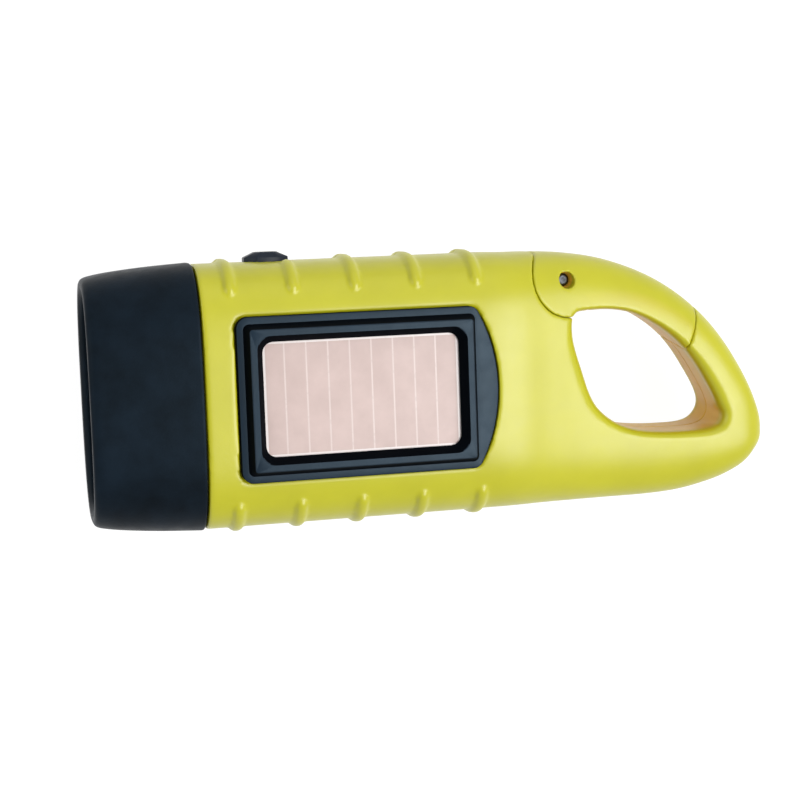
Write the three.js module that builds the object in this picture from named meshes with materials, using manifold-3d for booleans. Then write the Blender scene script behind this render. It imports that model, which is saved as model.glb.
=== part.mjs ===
// Hand crank flashlight with a solar panel and a carabiner loop, in millimetres.
// X runs from the lens rim to the loop, Y towards the push button, Z towards the solar panel.
// Pieces are drawn from the lens rim (x = 0), the body's middle line (y = 0)
// and the plane where the two body shells meet (z = 0).
import * as THREE from "three";
import { mergeVertices } from "three/addons/utils/BufferGeometryUtils.js";
import Module from "manifold-3d";

const wasm = await Module();
wasm.setup();

// Overall sizes
const overallLength = 137;
const bodyHalfWidth = 25.6;
const headLength = 20.8;
const gripShare = 0.577; // share of the length up to which the body's sides are straight
const gripEnd = gripShare * overallLength;
const loopLength = overallLength - gripEnd;
const backDepth = 9.2; // from the plane of the shells to the body's back
const armGap = 0.4;
const armThickness = 6.4;
const restDepth = backDepth + armGap + armThickness; // the head and the crank arm both reach down to here

// Clearances
const jointGap = 0.3; // between neighbouring fixed pieces
const fitGap = 0.15; // around pins, axles and sliding pieces
const runGap = 0.6; // between turning pieces
const overrun = 2; // how far a cutter passes the face it cuts

// Head bezel
const headStep = 0.3; // the head is this much wider than the body on each side
const headHalfWidth = bodyHalfWidth + headStep;
const headHalfDepth = restDepth;
const headExponent = 2.8;
const headSideWall = 2.3;
const headFaceWall = 2.2;
const bezelBoreHalfWidth = headHalfWidth - headSideWall;
const bezelBoreHalfDepth = headHalfDepth - headFaceWall;
const lensLip = 1.3; // how far the front lip covers the lens
const lensLipDepth = 2;
const lensTaper = 1.2; // the bore is this much tighter at the lens
// each row: place along the head, share of its half width, share of its half depth
const bezelShares = [
  [0, 0.886, 0.9],
  [0.04, 0.92, 0.944],
  [0.22, 0.951, 0.965],
  [0.58, 0.981, 0.99],
  [0.965, 1, 1],
  [1, 0.983, 0.975],
];

// Neck of the body inside the head
const neckStart = 12;
const neckWall = 2.1;
const sealStart = 15.6;
const sealWidth = 1.6;
const sealDepth = 1;

// Lens, reflector and lamps
const lensThickness = 1.6;
const cupCount = 3;
const cupPitchShare = 0.637; // of the lens's half width
const cupRadiusShare = 0.472; // of the pitch
const cupThroat = 3.2;
const lampRadius = 2.5;
const lampFlangeRadius = 2.9;
const lampFlangeThickness = 1;
const lampLength = 7.6;
const lampBoardThickness = 1.4;

// Body shells
const faceHeight = 15;
const bodyExponent = 3.2;
const sideWall = 2.2;
const faceWall = 3;
const backWall = 2.2;
const loopFaceHeight = 10.5;
const edgeRound = 0.4;
const bulkhead = 2.2;
const cavityFlare = 4.5; // length over which the hollow widens behind the bulkhead
// each row: place from the end of the grip to the end of the loop, share of the half width
// at the button edge and at the other edge, how much of the grip's extra height is left,
// and the share of the loop's thickness
const loopShares = [
  [0.07, 0.994, -1, 0.9, 1],
  [0.17, 0.991, -0.997, 0.62, 1],
  [0.29, 0.973, -0.996, 0.34, 1],
  [0.43, 0.915, -0.996, 0.12, 1],
  [0.58, 0.789, -0.994, 0.02, 1],
  [0.69, 0.641, -0.976, 0, 1],
  [0.79, 0.445, -0.93, 0, 1],
  [0.86, 0.246, -0.88, 0, 0.98],
  [0.93, -0.028, -0.794, 0, 0.92],
  [0.97, -0.248, -0.688, 0, 0.8],
  [0.99, -0.39, -0.622, 0, 0.62],
  [1, -0.49, -0.579, 0, 0.36],
];

// Hole of the carabiner loop
const loopHolePlaceShare = 0.5586; // from the end of the grip to the end of the loop
const loopHoleLengthShare = 0.2865;
const loopHoleOffsetShare = 0.0383;
const loopHoleWidthShare = 0.51;
const loopHoleX = gripEnd + loopHolePlaceShare * loopLength;
const loopHoleY = loopHoleOffsetShare * bodyHalfWidth;
const loopHoleHalfLength = loopHoleLengthShare * loopLength;
const loopHoleHalfWidth = loopHoleWidthShare * bodyHalfWidth;
const loopHoleRound = 2.4;
const loopHoleSteps = 28;
const roundSteps = 3;
const loopHoleShares = [
  [-1, 0.62],
  [-0.96, 0.9],
  [-0.64, 1],
  [-0.09, 0.92],
  [0.45, 0.5],
  [0.8, -0.087],
  [1, -0.69],
  [0.876, -0.935],
  [0.4, -1],
  [-0.316, -0.875],
  [-0.7, -0.525],
  [-0.894, 0.074],
];

// Ribs on the body's edges
const ribCount = 5;
const ribFirst = 26.95;
const ribSetback = 4.2; // from the end of the grip to the last rib
const ribLast = gripEnd - ribSetback;
const ribPitch = (ribLast - ribFirst) / (ribCount - 1);
const ribWidth = 1.9;
const ribProud = 0.8;
const ribLength = 6;
const ribReach = bodyHalfWidth - ribLength; // the ribs stop this far from the middle line
const ribGapAtButton = 4.2;
const ribShares = [
  [-0.5, -0.4],
  [-0.2, 1],
  [0.2, 1],
  [0.5, -0.4],
];

// Gate of the loop and its pin
const pinPlaceShare = 0.26; // from the end of the grip to the end of the loop
const pinInset = 6;
const pinX = gripEnd + pinPlaceShare * loopLength;
const pinY = bodyHalfWidth - pinInset;
const pinRadius = 1.3;
const pinHoleRadius = 1.55;
const pinTop = 7.4;
const pinBottom = 6.8;
const gateHubRadius = 7.3;
const gateLengthShare = 0.5057;
const gateTipRadius = gateLengthShare * loopLength; // from the pin to the gate's tip
const gateHubSeam = 7.6; // from the pin to the straight seam on the body
const gateTipLowTurn = -0.62;
const gateTipHighTurn = -0.13;
const gateHubStartTurn = 2.3; // where the hub's seam meets the body's outer side
const gateHubEndTurn = 4.8; // where the body's seat for the hub opens into the loop
const gateHubInnerTurn = 5.32; // the gate stays round up to here, so that it can swing in
const lugRadius = 4.2;
const lugRoomRadius = 4.65;
const springLegRoom = 1.6; // how far past the pin the spring's leg needs the wide room
const lugBottom = 4.5;
const lugTop = 2.5;
const springSpace = 2.8;
const springHeight = 2.2;
const springWire = 0.8;
const springRadius = 2.5;
const gateSteps = 10;

// Solar frame, panel and pad
const frameSetback = 5.8; // from the head to the frame
const frameStart = headLength + frameSetback;
const frameEndSetback = 1.3;
const frameEnd = gripEnd - frameEndSetback;
const frameBulge = 5;
const ringShift = 1.5; // the ring sits this far behind the middle of the frame's straight part
const solarCentre = (frameStart + frameEnd - frameBulge) / 2 + ringShift;
const frameHalfWidth = 15.7;
const frameCorner = 3;
const frameSink = 1.6; // how deep the frame sits in the body's face
const frameProud = 0.4;
const ringHeight = 2.4;
const frameSeat = faceHeight - frameSink;
const frameTop = faceHeight + frameProud;
const ringTop = frameTop + ringHeight;
const ringSetback = 3.05; // from the frame's straight end to the ring
const ringHalfLength = solarCentre - frameStart - ringSetback;
const ringHalfWidth = 13.3;
const ringDraft = 0.85;
const ringCorner = 4;
const ringInset = 1.25;
const ledgeThickness = 0.4;
const ledgeWidth = 1.3;
const panelOverlap = 0.5;
const panelThickness = 1.05;
const padThickness = 0.7;
const wireHoleRadius = 1.6;

// Push button and switch
const buttonSetback = 14.95; // from the head to the button's middle
const buttonX = headLength + buttonSetback;
const buttonHalfLength = 4.37;
const buttonHalfDepth = 2.9;
const buttonProud = 1.8;
const buttonDome = 1.1;
const buttonTravel = 1.2;
// each row: share of the button's outline, share of the dome's rise
const buttonDomeShares = [
  [1, 0],
  [0.86, 0.55],
  [0.62, 0.85],
  [0.3, 1],
];
const flangeWidth = 0.7;
const flangeThickness = 0.9;
const switchHalfLength = 3.6;
const switchHalfDepth = 3.2;
const switchDepth = 4.6;
const plungerRadius = 1.6;
const plungerLength = 4.6;
const buttonSpringRadius = 2.7;
const buttonSpringWire = 0.6;

// Crank
const hubPlaceShare = 0.9; // of the grip's end
const hubX = hubPlaceShare * gripEnd;
const shaftRadius = 3.6;
const bushRadius = 5.4;
const bushHeight = 3.2;
const armHubRadius = 9;
const armTipRadius = 7.5;
const armBevel = 0.8;
const hexRadius = 2.6;
const hexLength = 3;
const screwShankRadius = 0.9;
const screwShankLength = 5;
const screwHeadRadius = 3;
const screwHeadHeight = 1.4;
const capRadius = 4;
const capThickness = 0.8;

// Folding knob on the crank arm
const armSetback = 6.1; // from the head to the arm's tip
const knobHinge = hubX - headLength - armSetback - armTipRadius; // from the hub to the knob's hinge
const hingePinRadius = 0.9;
const eyeRadius = 2.6;
const knobWindowHalfWidth = 3.4;
const eyeGap = 0.4;
const postRadius = 1.25;
const postHeadRadius = 2.1;
const postHeadLength = 1;
const knobInset = 0.2; // from the arm's faces to the knob
const knobRadius = armThickness / 2 - knobInset;
const knobStart = 3.6;
const knobClearance = 18.4; // from the knob's far end to the hub, less its start
const knobLength = knobHinge - knobClearance;

// Gears: every stage is one wheel that drives one pinion at the same distance
const gearModuleShare = 0.0125; // of the grip's end
const gearModule = gearModuleShare * gripEnd;
const wheelTeeth = 32;
const pinionTeeth = 10;
const pressureAngle = (25 * Math.PI) / 180;
const gearThickness = 2.7;
const gearFoot = 1.6; // from the hollow's floor to the lowest wheel
const addendumShare = 0.85;
const dedendumShare = 1.1;
const toothSlackShare = 0.14;
const wheelFlankShares = [0, 1];
const pinionFlankShares = [0, 0.45, 1];
const axleRadius = 1;
const axleSocket = 1.2; // how deep an axle stands in its boss
const axleBossRadius = 2.6;
const gearSeatRadius = 3.2;

// Dynamo
const rotorHubRadius = 2.3;
const magnetRadius = 7.1;
const coilInnerRadius = 7.8;
const coilOuterRadius = 11.2;
const coreThickness = 1.5;
const magnetStep = 0.8; // the core stands this much higher than the magnet
const earRadius = 2.6;
const earOffset = 15.4;
const earPostRadius = 1.5;

// Main board and cells
const boardBefore = 16.5; // from the idler's axle to the board's ends
const boardAfter = 14.5;
const boardHalfWidth = 12.7;
const boardThickness = 1;
const boardDrop = 2.1; // from the hollow's ceiling to the board's lower face
const boardClearance = 0.4;
const boardHoleRadius = 3.2;
const boardShoulderRadius = 4.4;
const cellCount = 3;
const cellRadiusShare = 0.095; // of the grip's end
const cellGap = 0.55; // from the cells to the idler's wheel
const cellThickness = 5.9;
const cellBottom = 6.7;

// Screws that join the shells
const frontScrewX = 28.3;
const screwInset = 7.3; // from the body's side
const rearScrewSetback = 11.2; // from the gate's pin
const shellScrewRadius = 1.1;
const shellScrewHead = 2.4;
const shellScrewHeadHeight = 1.3;
const shellScrewSeat = 5.9; // depth of the head's seat below the shells' plane
const shellScrewReach = 6.5;
const screwBossRadius = 3.5;
const slotWidth = 0.7;
const slotDepth = 0.6;

// Facets
const sectionSteps = 28;
const roundSides = 16;
const pinSides = 10;
const hexSides = 6;
const lathePoints = 4;

// Derived heights and places
const bodyStart = headLength + jointGap;
const neckHalfWidth = bezelBoreHalfWidth - jointGap;
const neckHalfDepth = bezelBoreHalfDepth - jointGap;
const ceiling = faceHeight - faceWall;
const cavityDepth = backDepth - backWall;
const crankGearBottom = gearFoot - cavityDepth;
const armTop = -(backDepth + armGap);
const armMiddle = (armTop - restDepth) / 2;
const hingeX = hubX - knobHinge;
const stageDistance = (gearModule * (wheelTeeth + pinionTeeth)) / 2;
const idlerX = hubX - stageDistance;
const wheelReach = gearModule * (wheelTeeth / 2 + addendumShare);
const cellRadius = cellRadiusShare * gripEnd;
const cellX = idlerX - wheelReach - cellGap - cellRadius;
const boardStart = idlerX - boardBefore;
const boardEnd = idlerX + boardAfter;
const screwY = bodyHalfWidth - screwInset;
const rearScrewX = pinX - rearScrewSetback;
const crankGearTop = crankGearBottom + gearThickness;
const secondLevel = crankGearTop + runGap;
const thirdLevel = secondLevel + gearThickness + runGap;
const dynamoLevel = thirdLevel + gearThickness + runGap;
const boardBottom = ceiling - boardDrop;
const coreHeight = boardBottom - boardClearance - dynamoLevel;
const magnetHeight = coreHeight - magnetStep;
const halfTooth = 180 / pinionTeeth; // in degrees

// Finishes
const yellowPlastic = { color: 0xcfcf2c, roughness: 0.42, metalness: 0 };
const blackPlastic = { color: 0x161c26, roughness: 0.5, metalness: 0 };
const clearPlastic = { color: 0xe8eef2, roughness: 0.08, metalness: 0, transparent: true, opacity: 0.4 };
const mirrorCoat = { color: 0xd8dadc, roughness: 0.12, metalness: 1 };
const lampPlastic = { color: 0xf2f2e6, roughness: 0.15, metalness: 0 };
const greenBoard = { color: 0x1d5a38, roughness: 0.5, metalness: 0 };
const panelFinish = { color: 0xe0c8c0, roughness: 0.3, metalness: 0.1 };
const foamPad = { color: 0x2a2a2a, roughness: 0.95, metalness: 0 };
const blackRubber = { color: 0x101010, roughness: 0.9, metalness: 0 };
const steel = { color: 0x9a9da0, roughness: 0.3, metalness: 1 };
const whiteNylon = { color: 0xe9e7de, roughness: 0.5, metalness: 0 };
const magnetFinish = { color: 0x5c5f63, roughness: 0.35, metalness: 0.8 };
const copperWire = { color: 0xb4693a, roughness: 0.35, metalness: 0.9 };
const brassBush = { color: 0xb9954e, roughness: 0.35, metalness: 1 };
const cellWrap = { color: 0x2f6d3a, roughness: 0.4, metalness: 0 };

const flashlight = new THREE.Group();

// A closed three.js geometry as a solid that can be cut and joined.
function solidOf(geometry) {
  geometry.deleteAttribute("normal");
  geometry.deleteAttribute("uv");
  const merged = mergeVertices(geometry);
  const vertProperties = merged.attributes.position.array;
  const triVerts = new Uint32Array(merged.index.array);
  return new wasm.Manifold(new wasm.Mesh({ numProp: 3, vertProperties, triVerts }));
}

function addPiece(name, solid, finish) {
  const { vertProperties, triVerts } = solid.getMesh();
  const geometry = new THREE.BufferGeometry();
  geometry.setAttribute("position", new THREE.BufferAttribute(vertProperties, 3));
  geometry.setIndex(new THREE.BufferAttribute(triVerts, 1));
  geometry.computeVertexNormals();
  const mesh = new THREE.Mesh(geometry, new THREE.MeshStandardMaterial(finish));
  mesh.name = name;
  flashlight.add(mesh);
}

function block(x0, x1, y0, y1, z0, z1) {
  const geometry = new THREE.BoxGeometry(x1 - x0, y1 - y0, z1 - z0);
  return solidOf(geometry.translate((x0 + x1) / 2, (y0 + y1) / 2, (z0 + z1) / 2));
}

function rodAlongZ(radius, x, y, z0, z1, sides = roundSides) {
  const geometry = new THREE.CylinderGeometry(radius, radius, z1 - z0, sides);
  return solidOf(geometry.rotateX(Math.PI / 2).translate(x, y, (z0 + z1) / 2));
}

function rodAlongY(radius, x, z, y0, y1, sides = roundSides) {
  const geometry = new THREE.CylinderGeometry(radius, radius, y1 - y0, sides);
  return solidOf(geometry.translate(x, (y0 + y1) / 2, z));
}

function rodAlongX(radius, y, z, x0, x1, sides = roundSides) {
  const geometry = new THREE.CylinderGeometry(radius, radius, x1 - x0, sides);
  return solidOf(geometry.rotateZ(Math.PI / 2).translate((x0 + x1) / 2, y, z));
}

function prism(shape, z0, z1, curveSegments = roundSteps * 2) {
  const geometry = new THREE.ExtrudeGeometry(shape, { depth: z1 - z0, bevelEnabled: false, curveSegments });
  return solidOf(geometry.translate(0, 0, z0));
}

// A closed skin through rings with the same number of points, each end closed by a fan.
function loft(rings) {
  const count = rings[0].length;
  const points = rings.flat();
  const indices = [];
  for (let r = 0; r + 1 < rings.length; r++) {
    for (let i = 0; i < count; i++) {
      const a = r * count + i;
      const b = r * count + ((i + 1) % count);
      indices.push(a, b, b + count, a, b + count, a + count);
    }
  }
  for (const [ring, first, flipped] of [
    [rings[0], 0, true],
    [rings[rings.length - 1], (rings.length - 1) * count, false],
  ]) {
    const middle = new THREE.Vector3();
    ring.forEach((point) => middle.addScaledVector(point, 1 / count));
    points.push(middle);
    for (let i = 0; i < count; i++) {
      const a = first + i;
      const b = first + ((i + 1) % count);
      indices.push(...(flipped ? [b, a] : [a, b]), points.length - 1);
    }
  }
  const geometry = new THREE.BufferGeometry().setFromPoints(points);
  geometry.setIndex(indices);
  return solidOf(geometry);
}

// A rounded section across the body, wider and flatter as the exponent grows.
function sectionRing(x, low, high, bottom, top, exponent) {
  const ring = [];
  for (let i = 0; i < sectionSteps; i++) {
    const turn = (i / sectionSteps) * 2 * Math.PI;
    const across = Math.sign(Math.cos(turn)) * Math.abs(Math.cos(turn)) ** (2 / exponent);
    const up = Math.sign(Math.sin(turn)) * Math.abs(Math.sin(turn)) ** (2 / exponent);
    const y = (low + high) / 2 + (across * (high - low)) / 2;
    const z = up < 0 ? -up * bottom : up * top;
    ring.push(new THREE.Vector3(x, y, z));
  }
  return ring;
}

function evenRing(x, halfWidth, halfDepth, exponent = headExponent) {
  return sectionRing(x, -halfWidth, halfWidth, -halfDepth, halfDepth, exponent);
}

// A straight bar of the head's section.
function headBar(x0, x1, halfWidth, halfDepth) {
  return loft([evenRing(x0, halfWidth, halfDepth), evenRing(x1, halfWidth, halfDepth)]);
}

function roundedRing(halfLength, halfWidth, corner, z) {
  const ring = [];
  for (const [sideX, sideY, start] of [[1, 1, 0], [-1, 1, 1], [-1, -1, 2], [1, -1, 3]]) {
    for (let i = 0; i <= roundSteps; i++) {
      const turn = ((start + i / roundSteps) * Math.PI) / 2;
      const x = solarCentre + sideX * (halfLength - corner) + corner * Math.cos(turn);
      const y = sideY * (halfWidth - corner) + corner * Math.sin(turn);
      ring.push(new THREE.Vector3(x, y, z));
    }
  }
  return ring;
}

function roundedBar(halfLength, halfWidth, corner, z0, z1) {
  const ringAt = (z) => roundedRing(halfLength, halfWidth, corner, z);
  return loft([ringAt(z0), ringAt(z1)]);
}

// The body's sections: [x, low edge, high edge, bottom, top]
const bottomColumn = 3;
const topColumn = 4;

function bodyStations() {
  const grip = [-bodyHalfWidth, bodyHalfWidth, -backDepth, faceHeight];
  const start = grip.map((size) => size - Math.sign(size) * edgeRound);
  const stations = [
    [bodyStart, ...start],
    [bodyStart + edgeRound, ...grip],
    [gripEnd, ...grip],
  ];
  for (const [along, high, low, blend, depth] of loopShares) {
    const x = gripEnd + along * loopLength;
    const top = depth * (loopFaceHeight + blend * (faceHeight - loopFaceHeight));
    stations.push([x, low * bodyHalfWidth, high * bodyHalfWidth, -depth * backDepth, top]);
  }
  return stations;
}

function heightAt(x, column) {
  const stations = bodyStations();
  const next = stations.findIndex((station) => station[0] >= x);
  if (next <= 0) {
    return stations.at(next)[column];
  }
  const [before, after] = [stations[next - 1], stations[next]];
  const share = (x - before[0]) / (after[0] - before[0]);
  return before[column] + share * (after[column] - before[column]);
}

function bodyForm() {
  return loft(bodyStations().map((station) => sectionRing(...station, bodyExponent)));
}

function loopHole() {
  const corners = loopHoleShares.map(
    ([along, across]) =>
      new THREE.Vector3(loopHoleX + along * loopHoleHalfLength, loopHoleY + across * loopHoleHalfWidth, 0),
  );
  const curve = new THREE.CatmullRomCurve3(corners, true);
  const centre = new THREE.Vector3(loopHoleX, loopHoleY, 0);
  const ringAt = (offset, depth, side) => {
    const ring = [];
    for (let i = 0; i < loopHoleSteps; i++) {
      const point = curve.getPointAt(i / loopHoleSteps);
      const along = curve.getTangentAt(i / loopHoleSteps);
      const outward = new THREE.Vector3(along.y, -along.x, 0);
      if (outward.dot(point.clone().sub(centre)) < 0) {
        outward.negate();
      }
      point.addScaledVector(outward, offset);
      point.z = heightAt(point.x, side > 0 ? topColumn : bottomColumn) - side * depth;
      ring.push(point);
    }
    return ring;
  };
  const rings = [ringAt(loopHoleRound, -overrun, -1)];
  for (const side of [-1, 1]) {
    const half = [];
    for (let i = 0; i <= roundSteps; i++) {
      const turn = ((i / roundSteps) * Math.PI) / 2;
      const offset = loopHoleRound * (1 - Math.sin(turn));
      const depth = loopHoleRound * (1 - Math.cos(turn));
      half.push(ringAt(offset, depth, side));
    }
    rings.push(...(side < 0 ? half : half.reverse()));
  }
  rings.push(ringAt(loopHoleRound, -overrun, 1));
  return loft(rings.reverse());
}

function ribs() {
  let all = null;
  for (let i = 0; i < ribCount; i++) {
    const x = ribFirst + i * ribPitch;
    const rings = ribShares.map(([along, proud]) => {
      const out = proud * ribProud;
      const side = bodyHalfWidth + out;
      const place = x + along * ribWidth;
      return sectionRing(place, -side, side, -backDepth - out, faceHeight + out, bodyExponent);
    });
    const rib = loft(rings);
    all = all ? all.add(rib) : rib;
  }
  const middle = block(0, overallLength, -ribReach, ribReach, -restDepth, restDepth + overrun);
  const nearButton = block(
    buttonX - buttonHalfLength - overrun,
    buttonX + buttonHalfLength + overrun,
    0,
    bodyHalfWidth + overrun,
    -ribGapAtButton,
    ribGapAtButton,
  );
  return all.subtract(middle).subtract(nearButton);
}

// The part of the loop that belongs to the gate, seen from above, grown by a gap.
function gateOutline(gap, hubEndTurn) {
  const shape = new THREE.Shape();
  const seamX = pinX + (gateHubRadius + gap) * Math.cos(gateHubStartTurn);
  const outside = bodyHalfWidth + overrun;
  shape.moveTo(pinX + gateTipRadius + gap, outside);
  shape.lineTo(seamX, outside);
  shape.absarc(pinX, pinY, gateHubRadius + gap, gateHubStartTurn, hubEndTurn, false);
  shape.absarc(pinX, pinY, gateTipRadius + gap, gateTipLowTurn, gateTipHighTurn, false);
  return shape;
}

function gateCut() {
  const low = -(restDepth + overrun);
  const high = restDepth + overrun;
  const whole = prism(gateOutline(jointGap, gateHubEndTurn), low, high, gateSteps);
  const lug = rodAlongZ(lugRadius, pinX, pinY, -lugBottom, lugTop);
  const lugRoot = block(
    pinX - gateHubSeam - overrun,
    pinX,
    pinY - gateHubRadius - overrun,
    pinY,
    -lugBottom,
    lugTop,
  );
  return whole.subtract(lug).subtract(lugRoot);
}

function cavity() {
  const neck = headBar(
    neckStart - overrun,
    bodyStart - bulkhead + fitGap,
    neckHalfWidth - neckWall,
    neckHalfDepth - neckWall,
  );
  const wide = bodyHalfWidth - sideWall;
  const narrow = neckHalfWidth - neckWall;
  const start = bodyStart - bulkhead;
  const body = loft([
    sectionRing(start, -narrow, narrow, -cavityDepth, neckHalfDepth - neckWall, bodyExponent),
    sectionRing(start + cavityFlare, -wide, wide, -cavityDepth, ceiling, bodyExponent),
    sectionRing(gripEnd, -wide, wide, -cavityDepth, ceiling, bodyExponent),
  ]);
  const round = rodAlongZ(wheelReach + 2 * runGap, hubX, 0, -cavityDepth, dynamoLevel);
  return neck.add(body).add(round);
}

function screwPlaces() {
  return [
    [frontScrewX, screwY],
    [frontScrewX, -screwY],
    [rearScrewX, screwY],
    [rearScrewX, -screwY],
  ];
}

function sealGroove() {
  const ring = headBar(sealStart, sealStart + sealWidth, bezelBoreHalfWidth, bezelBoreHalfDepth);
  const floor = headBar(
    sealStart - overrun,
    sealStart + sealWidth + overrun,
    neckHalfWidth - sealDepth,
    neckHalfDepth - sealDepth,
  );
  return ring.subtract(floor);
}

function buttonHole(margin, y0, y1) {
  const geometry = new THREE.CylinderGeometry(1, 1, y1 - y0, roundSides);
  geometry.scale(buttonHalfLength + margin, 1, buttonHalfDepth + margin);
  return solidOf(geometry.translate(buttonX, (y0 + y1) / 2, 0));
}

function bodyShell() {
  const neck = headBar(neckStart, bodyStart + fitGap, neckHalfWidth, neckHalfDepth);
  return bodyForm()
    .add(neck)
    .add(ribs())
    .subtract(cavity())
    .subtract(loopHole())
    .subtract(gateCut())
    .subtract(sealGroove())
    .subtract(buttonHole(fitGap, 0, bodyHalfWidth + overrun))
    .subtract(buttonHole(flangeWidth + fitGap, switchFront, bodyHalfWidth - sideWall))
    .subtract(rodAlongZ(pinHoleRadius, pinX, pinY, -restDepth, restDepth, pinSides));
}

function frameOutline(gap) {
  const halfWidth = frameHalfWidth + gap;
  const radius = (frameHalfWidth ** 2 + frameBulge ** 2) / (2 * frameBulge);
  const half = Math.asin(frameHalfWidth / radius);
  const shape = new THREE.Shape();
  const left = frameStart - gap + frameCorner;
  shape.moveTo(left, halfWidth);
  shape.absarc(left, halfWidth - frameCorner, frameCorner, Math.PI / 2, Math.PI, false);
  shape.absarc(left, frameCorner - halfWidth, frameCorner, Math.PI, (3 * Math.PI) / 2, false);
  shape.lineTo(frameEnd - frameBulge, -halfWidth);
  shape.absarc(frameEnd - radius, 0, radius + gap, -half, half, false);
  shape.lineTo(frameEnd - frameBulge, halfWidth);
  return shape;
}

function solarSideShell() {
  const pocket = prism(frameOutline(jointGap), frameSeat, faceHeight + overrun);
  let shell = bodyShell().subtract(pocket);
  for (const [x, y] of screwPlaces()) {
    const boss = rodAlongZ(screwBossRadius, x, y, 0, ceiling + fitGap).intersect(bodyForm());
    shell = shell.add(boss);
    shell = shell.subtract(
      rodAlongZ(shellScrewRadius + fitGap, x, y, -overrun, shellScrewReach + fitGap, pinSides),
    );
  }
  const bossFoot = dynamoLevel + magnetHeight + runGap;
  for (const x of [idlerX, hubX]) {
    shell = shell.add(rodAlongZ(axleBossRadius, x, 0, bossFoot, ceiling + fitGap));
  }
  const boardTop = boardBottom + boardThickness + fitGap;
  shell = shell.add(rodAlongZ(boardShoulderRadius, idlerX, 0, boardTop, ceiling + fitGap));
  for (const side of [-1, 1]) {
    const y = side * earOffset;
    const postFoot = dynamoLevel + coreHeight + fitGap;
    const post = rodAlongZ(earRadius, idlerX, y, postFoot, ceiling + fitGap);
    const spigot = rodAlongZ(earPostRadius, idlerX, y, dynamoLevel + fitGap, postFoot + fitGap, pinSides);
    shell = shell.add(post).add(spigot);
  }
  const axleTop = ceiling - axleSocket / 2;
  for (const x of [idlerX, hubX]) {
    shell = shell.subtract(rodAlongZ(axleRadius + fitGap, x, 0, dynamoLevel, axleTop + fitGap, pinSides));
  }
  const wireX = solarCentre + ringHalfLength / 2;
  shell = shell.subtract(rodAlongZ(wireHoleRadius, wireX, 0, ceiling - overrun, faceHeight, pinSides));
  const far = 2 * bodyHalfWidth;
  return shell.intersect(block(0, overallLength + overrun, -far, far, 0, 2 * faceHeight));
}

function crankSideShell() {
  let shell = bodyShell();
  for (const [x, y] of screwPlaces()) {
    shell = shell.add(rodAlongZ(screwBossRadius, x, y, -backDepth, 0).intersect(bodyForm()));
    shell = shell.subtract(rodAlongZ(shellScrewRadius + fitGap, x, y, -restDepth, overrun, pinSides));
    shell = shell.subtract(rodAlongZ(shellScrewHead + fitGap, x, y, -restDepth, -shellScrewSeat, pinSides));
  }
  const axleFoot = crankGearBottom - fitGap;
  shell = shell.add(rodAlongZ(axleBossRadius, idlerX, 0, -cavityDepth - fitGap, axleFoot));
  shell = shell.subtract(rodAlongZ(axleRadius + fitGap, idlerX, 0, axleFoot - axleSocket, 0, pinSides));
  shell = shell.add(
    rodAlongZ(bushRadius + sideWall, hubX, 0, -cavityDepth - fitGap, bushHeight - backDepth),
  );
  shell = shell.subtract(rodAlongZ(bushRadius + fitGap, hubX, 0, -restDepth, 0));
  const shelf = block(
    buttonX - switchHalfLength,
    buttonX + switchHalfLength,
    bodyHalfWidth - sideWall - flangeThickness - switchDepth - buttonTravel,
    bodyHalfWidth - sideWall - flangeThickness - buttonTravel - fitGap,
    -cavityDepth - fitGap,
    -switchHalfDepth - fitGap,
  );
  shell = shell.add(shelf.intersect(bodyForm()));
  const far = 2 * bodyHalfWidth;
  return shell.intersect(block(0, overallLength + overrun, -far, far, -2 * restDepth, 0));
}

function loopGate() {
  const low = -(restDepth + overrun);
  const high = restDepth + overrun;
  const slotTop = lugTop + springSpace;
  const slotBottom = -(lugBottom + jointGap);
  const reach = gateHubRadius + jointGap + fitGap;
  const roomEnd = pinY + springLegRoom;
  const outerHalf = block(pinX - reach, pinX + reach, roomEnd, pinY + reach, slotBottom, slotTop);
  const slot = rodAlongZ(reach, pinX, pinY, slotBottom, slotTop)
    .subtract(outerHalf)
    .add(rodAlongZ(lugRoomRadius, pinX, pinY, slotBottom, slotTop));
  const corner = block(
    pinX - gateHubSeam - overrun,
    pinX,
    pinY - gateHubRadius - overrun,
    roomEnd,
    slotBottom,
    slotTop,
  );
  return bodyForm()
    .subtract(loopHole())
    .intersect(prism(gateOutline(0, gateHubInnerTurn), low, high, gateSteps))
    .subtract(slot)
    .subtract(corner)
    .subtract(rodAlongZ(pinHoleRadius, pinX, pinY, low, high, pinSides));
}

function gateSpring() {
  const ring = rodAlongZ(springRadius + springWire / 2, pinX, pinY, 0, springHeight)
    .subtract(rodAlongZ(springRadius - springWire / 2, pinX, pinY, -overrun, springHeight + overrun));
  const reach = gateHubRadius - jointGap;
  const leg = (side, y) => {
    const x0 = side < 0 ? pinX - reach : pinX;
    const x1 = side < 0 ? pinX : pinX + reach;
    return block(x0, x1, y - springWire / 2, y + springWire / 2, 0, springWire);
  };
  const legs = leg(-1, pinY - springRadius).add(leg(1, pinY - springRadius));
  return ring.add(legs).translate([0, 0, lugTop + (springSpace - springHeight) / 2]);
}

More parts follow.
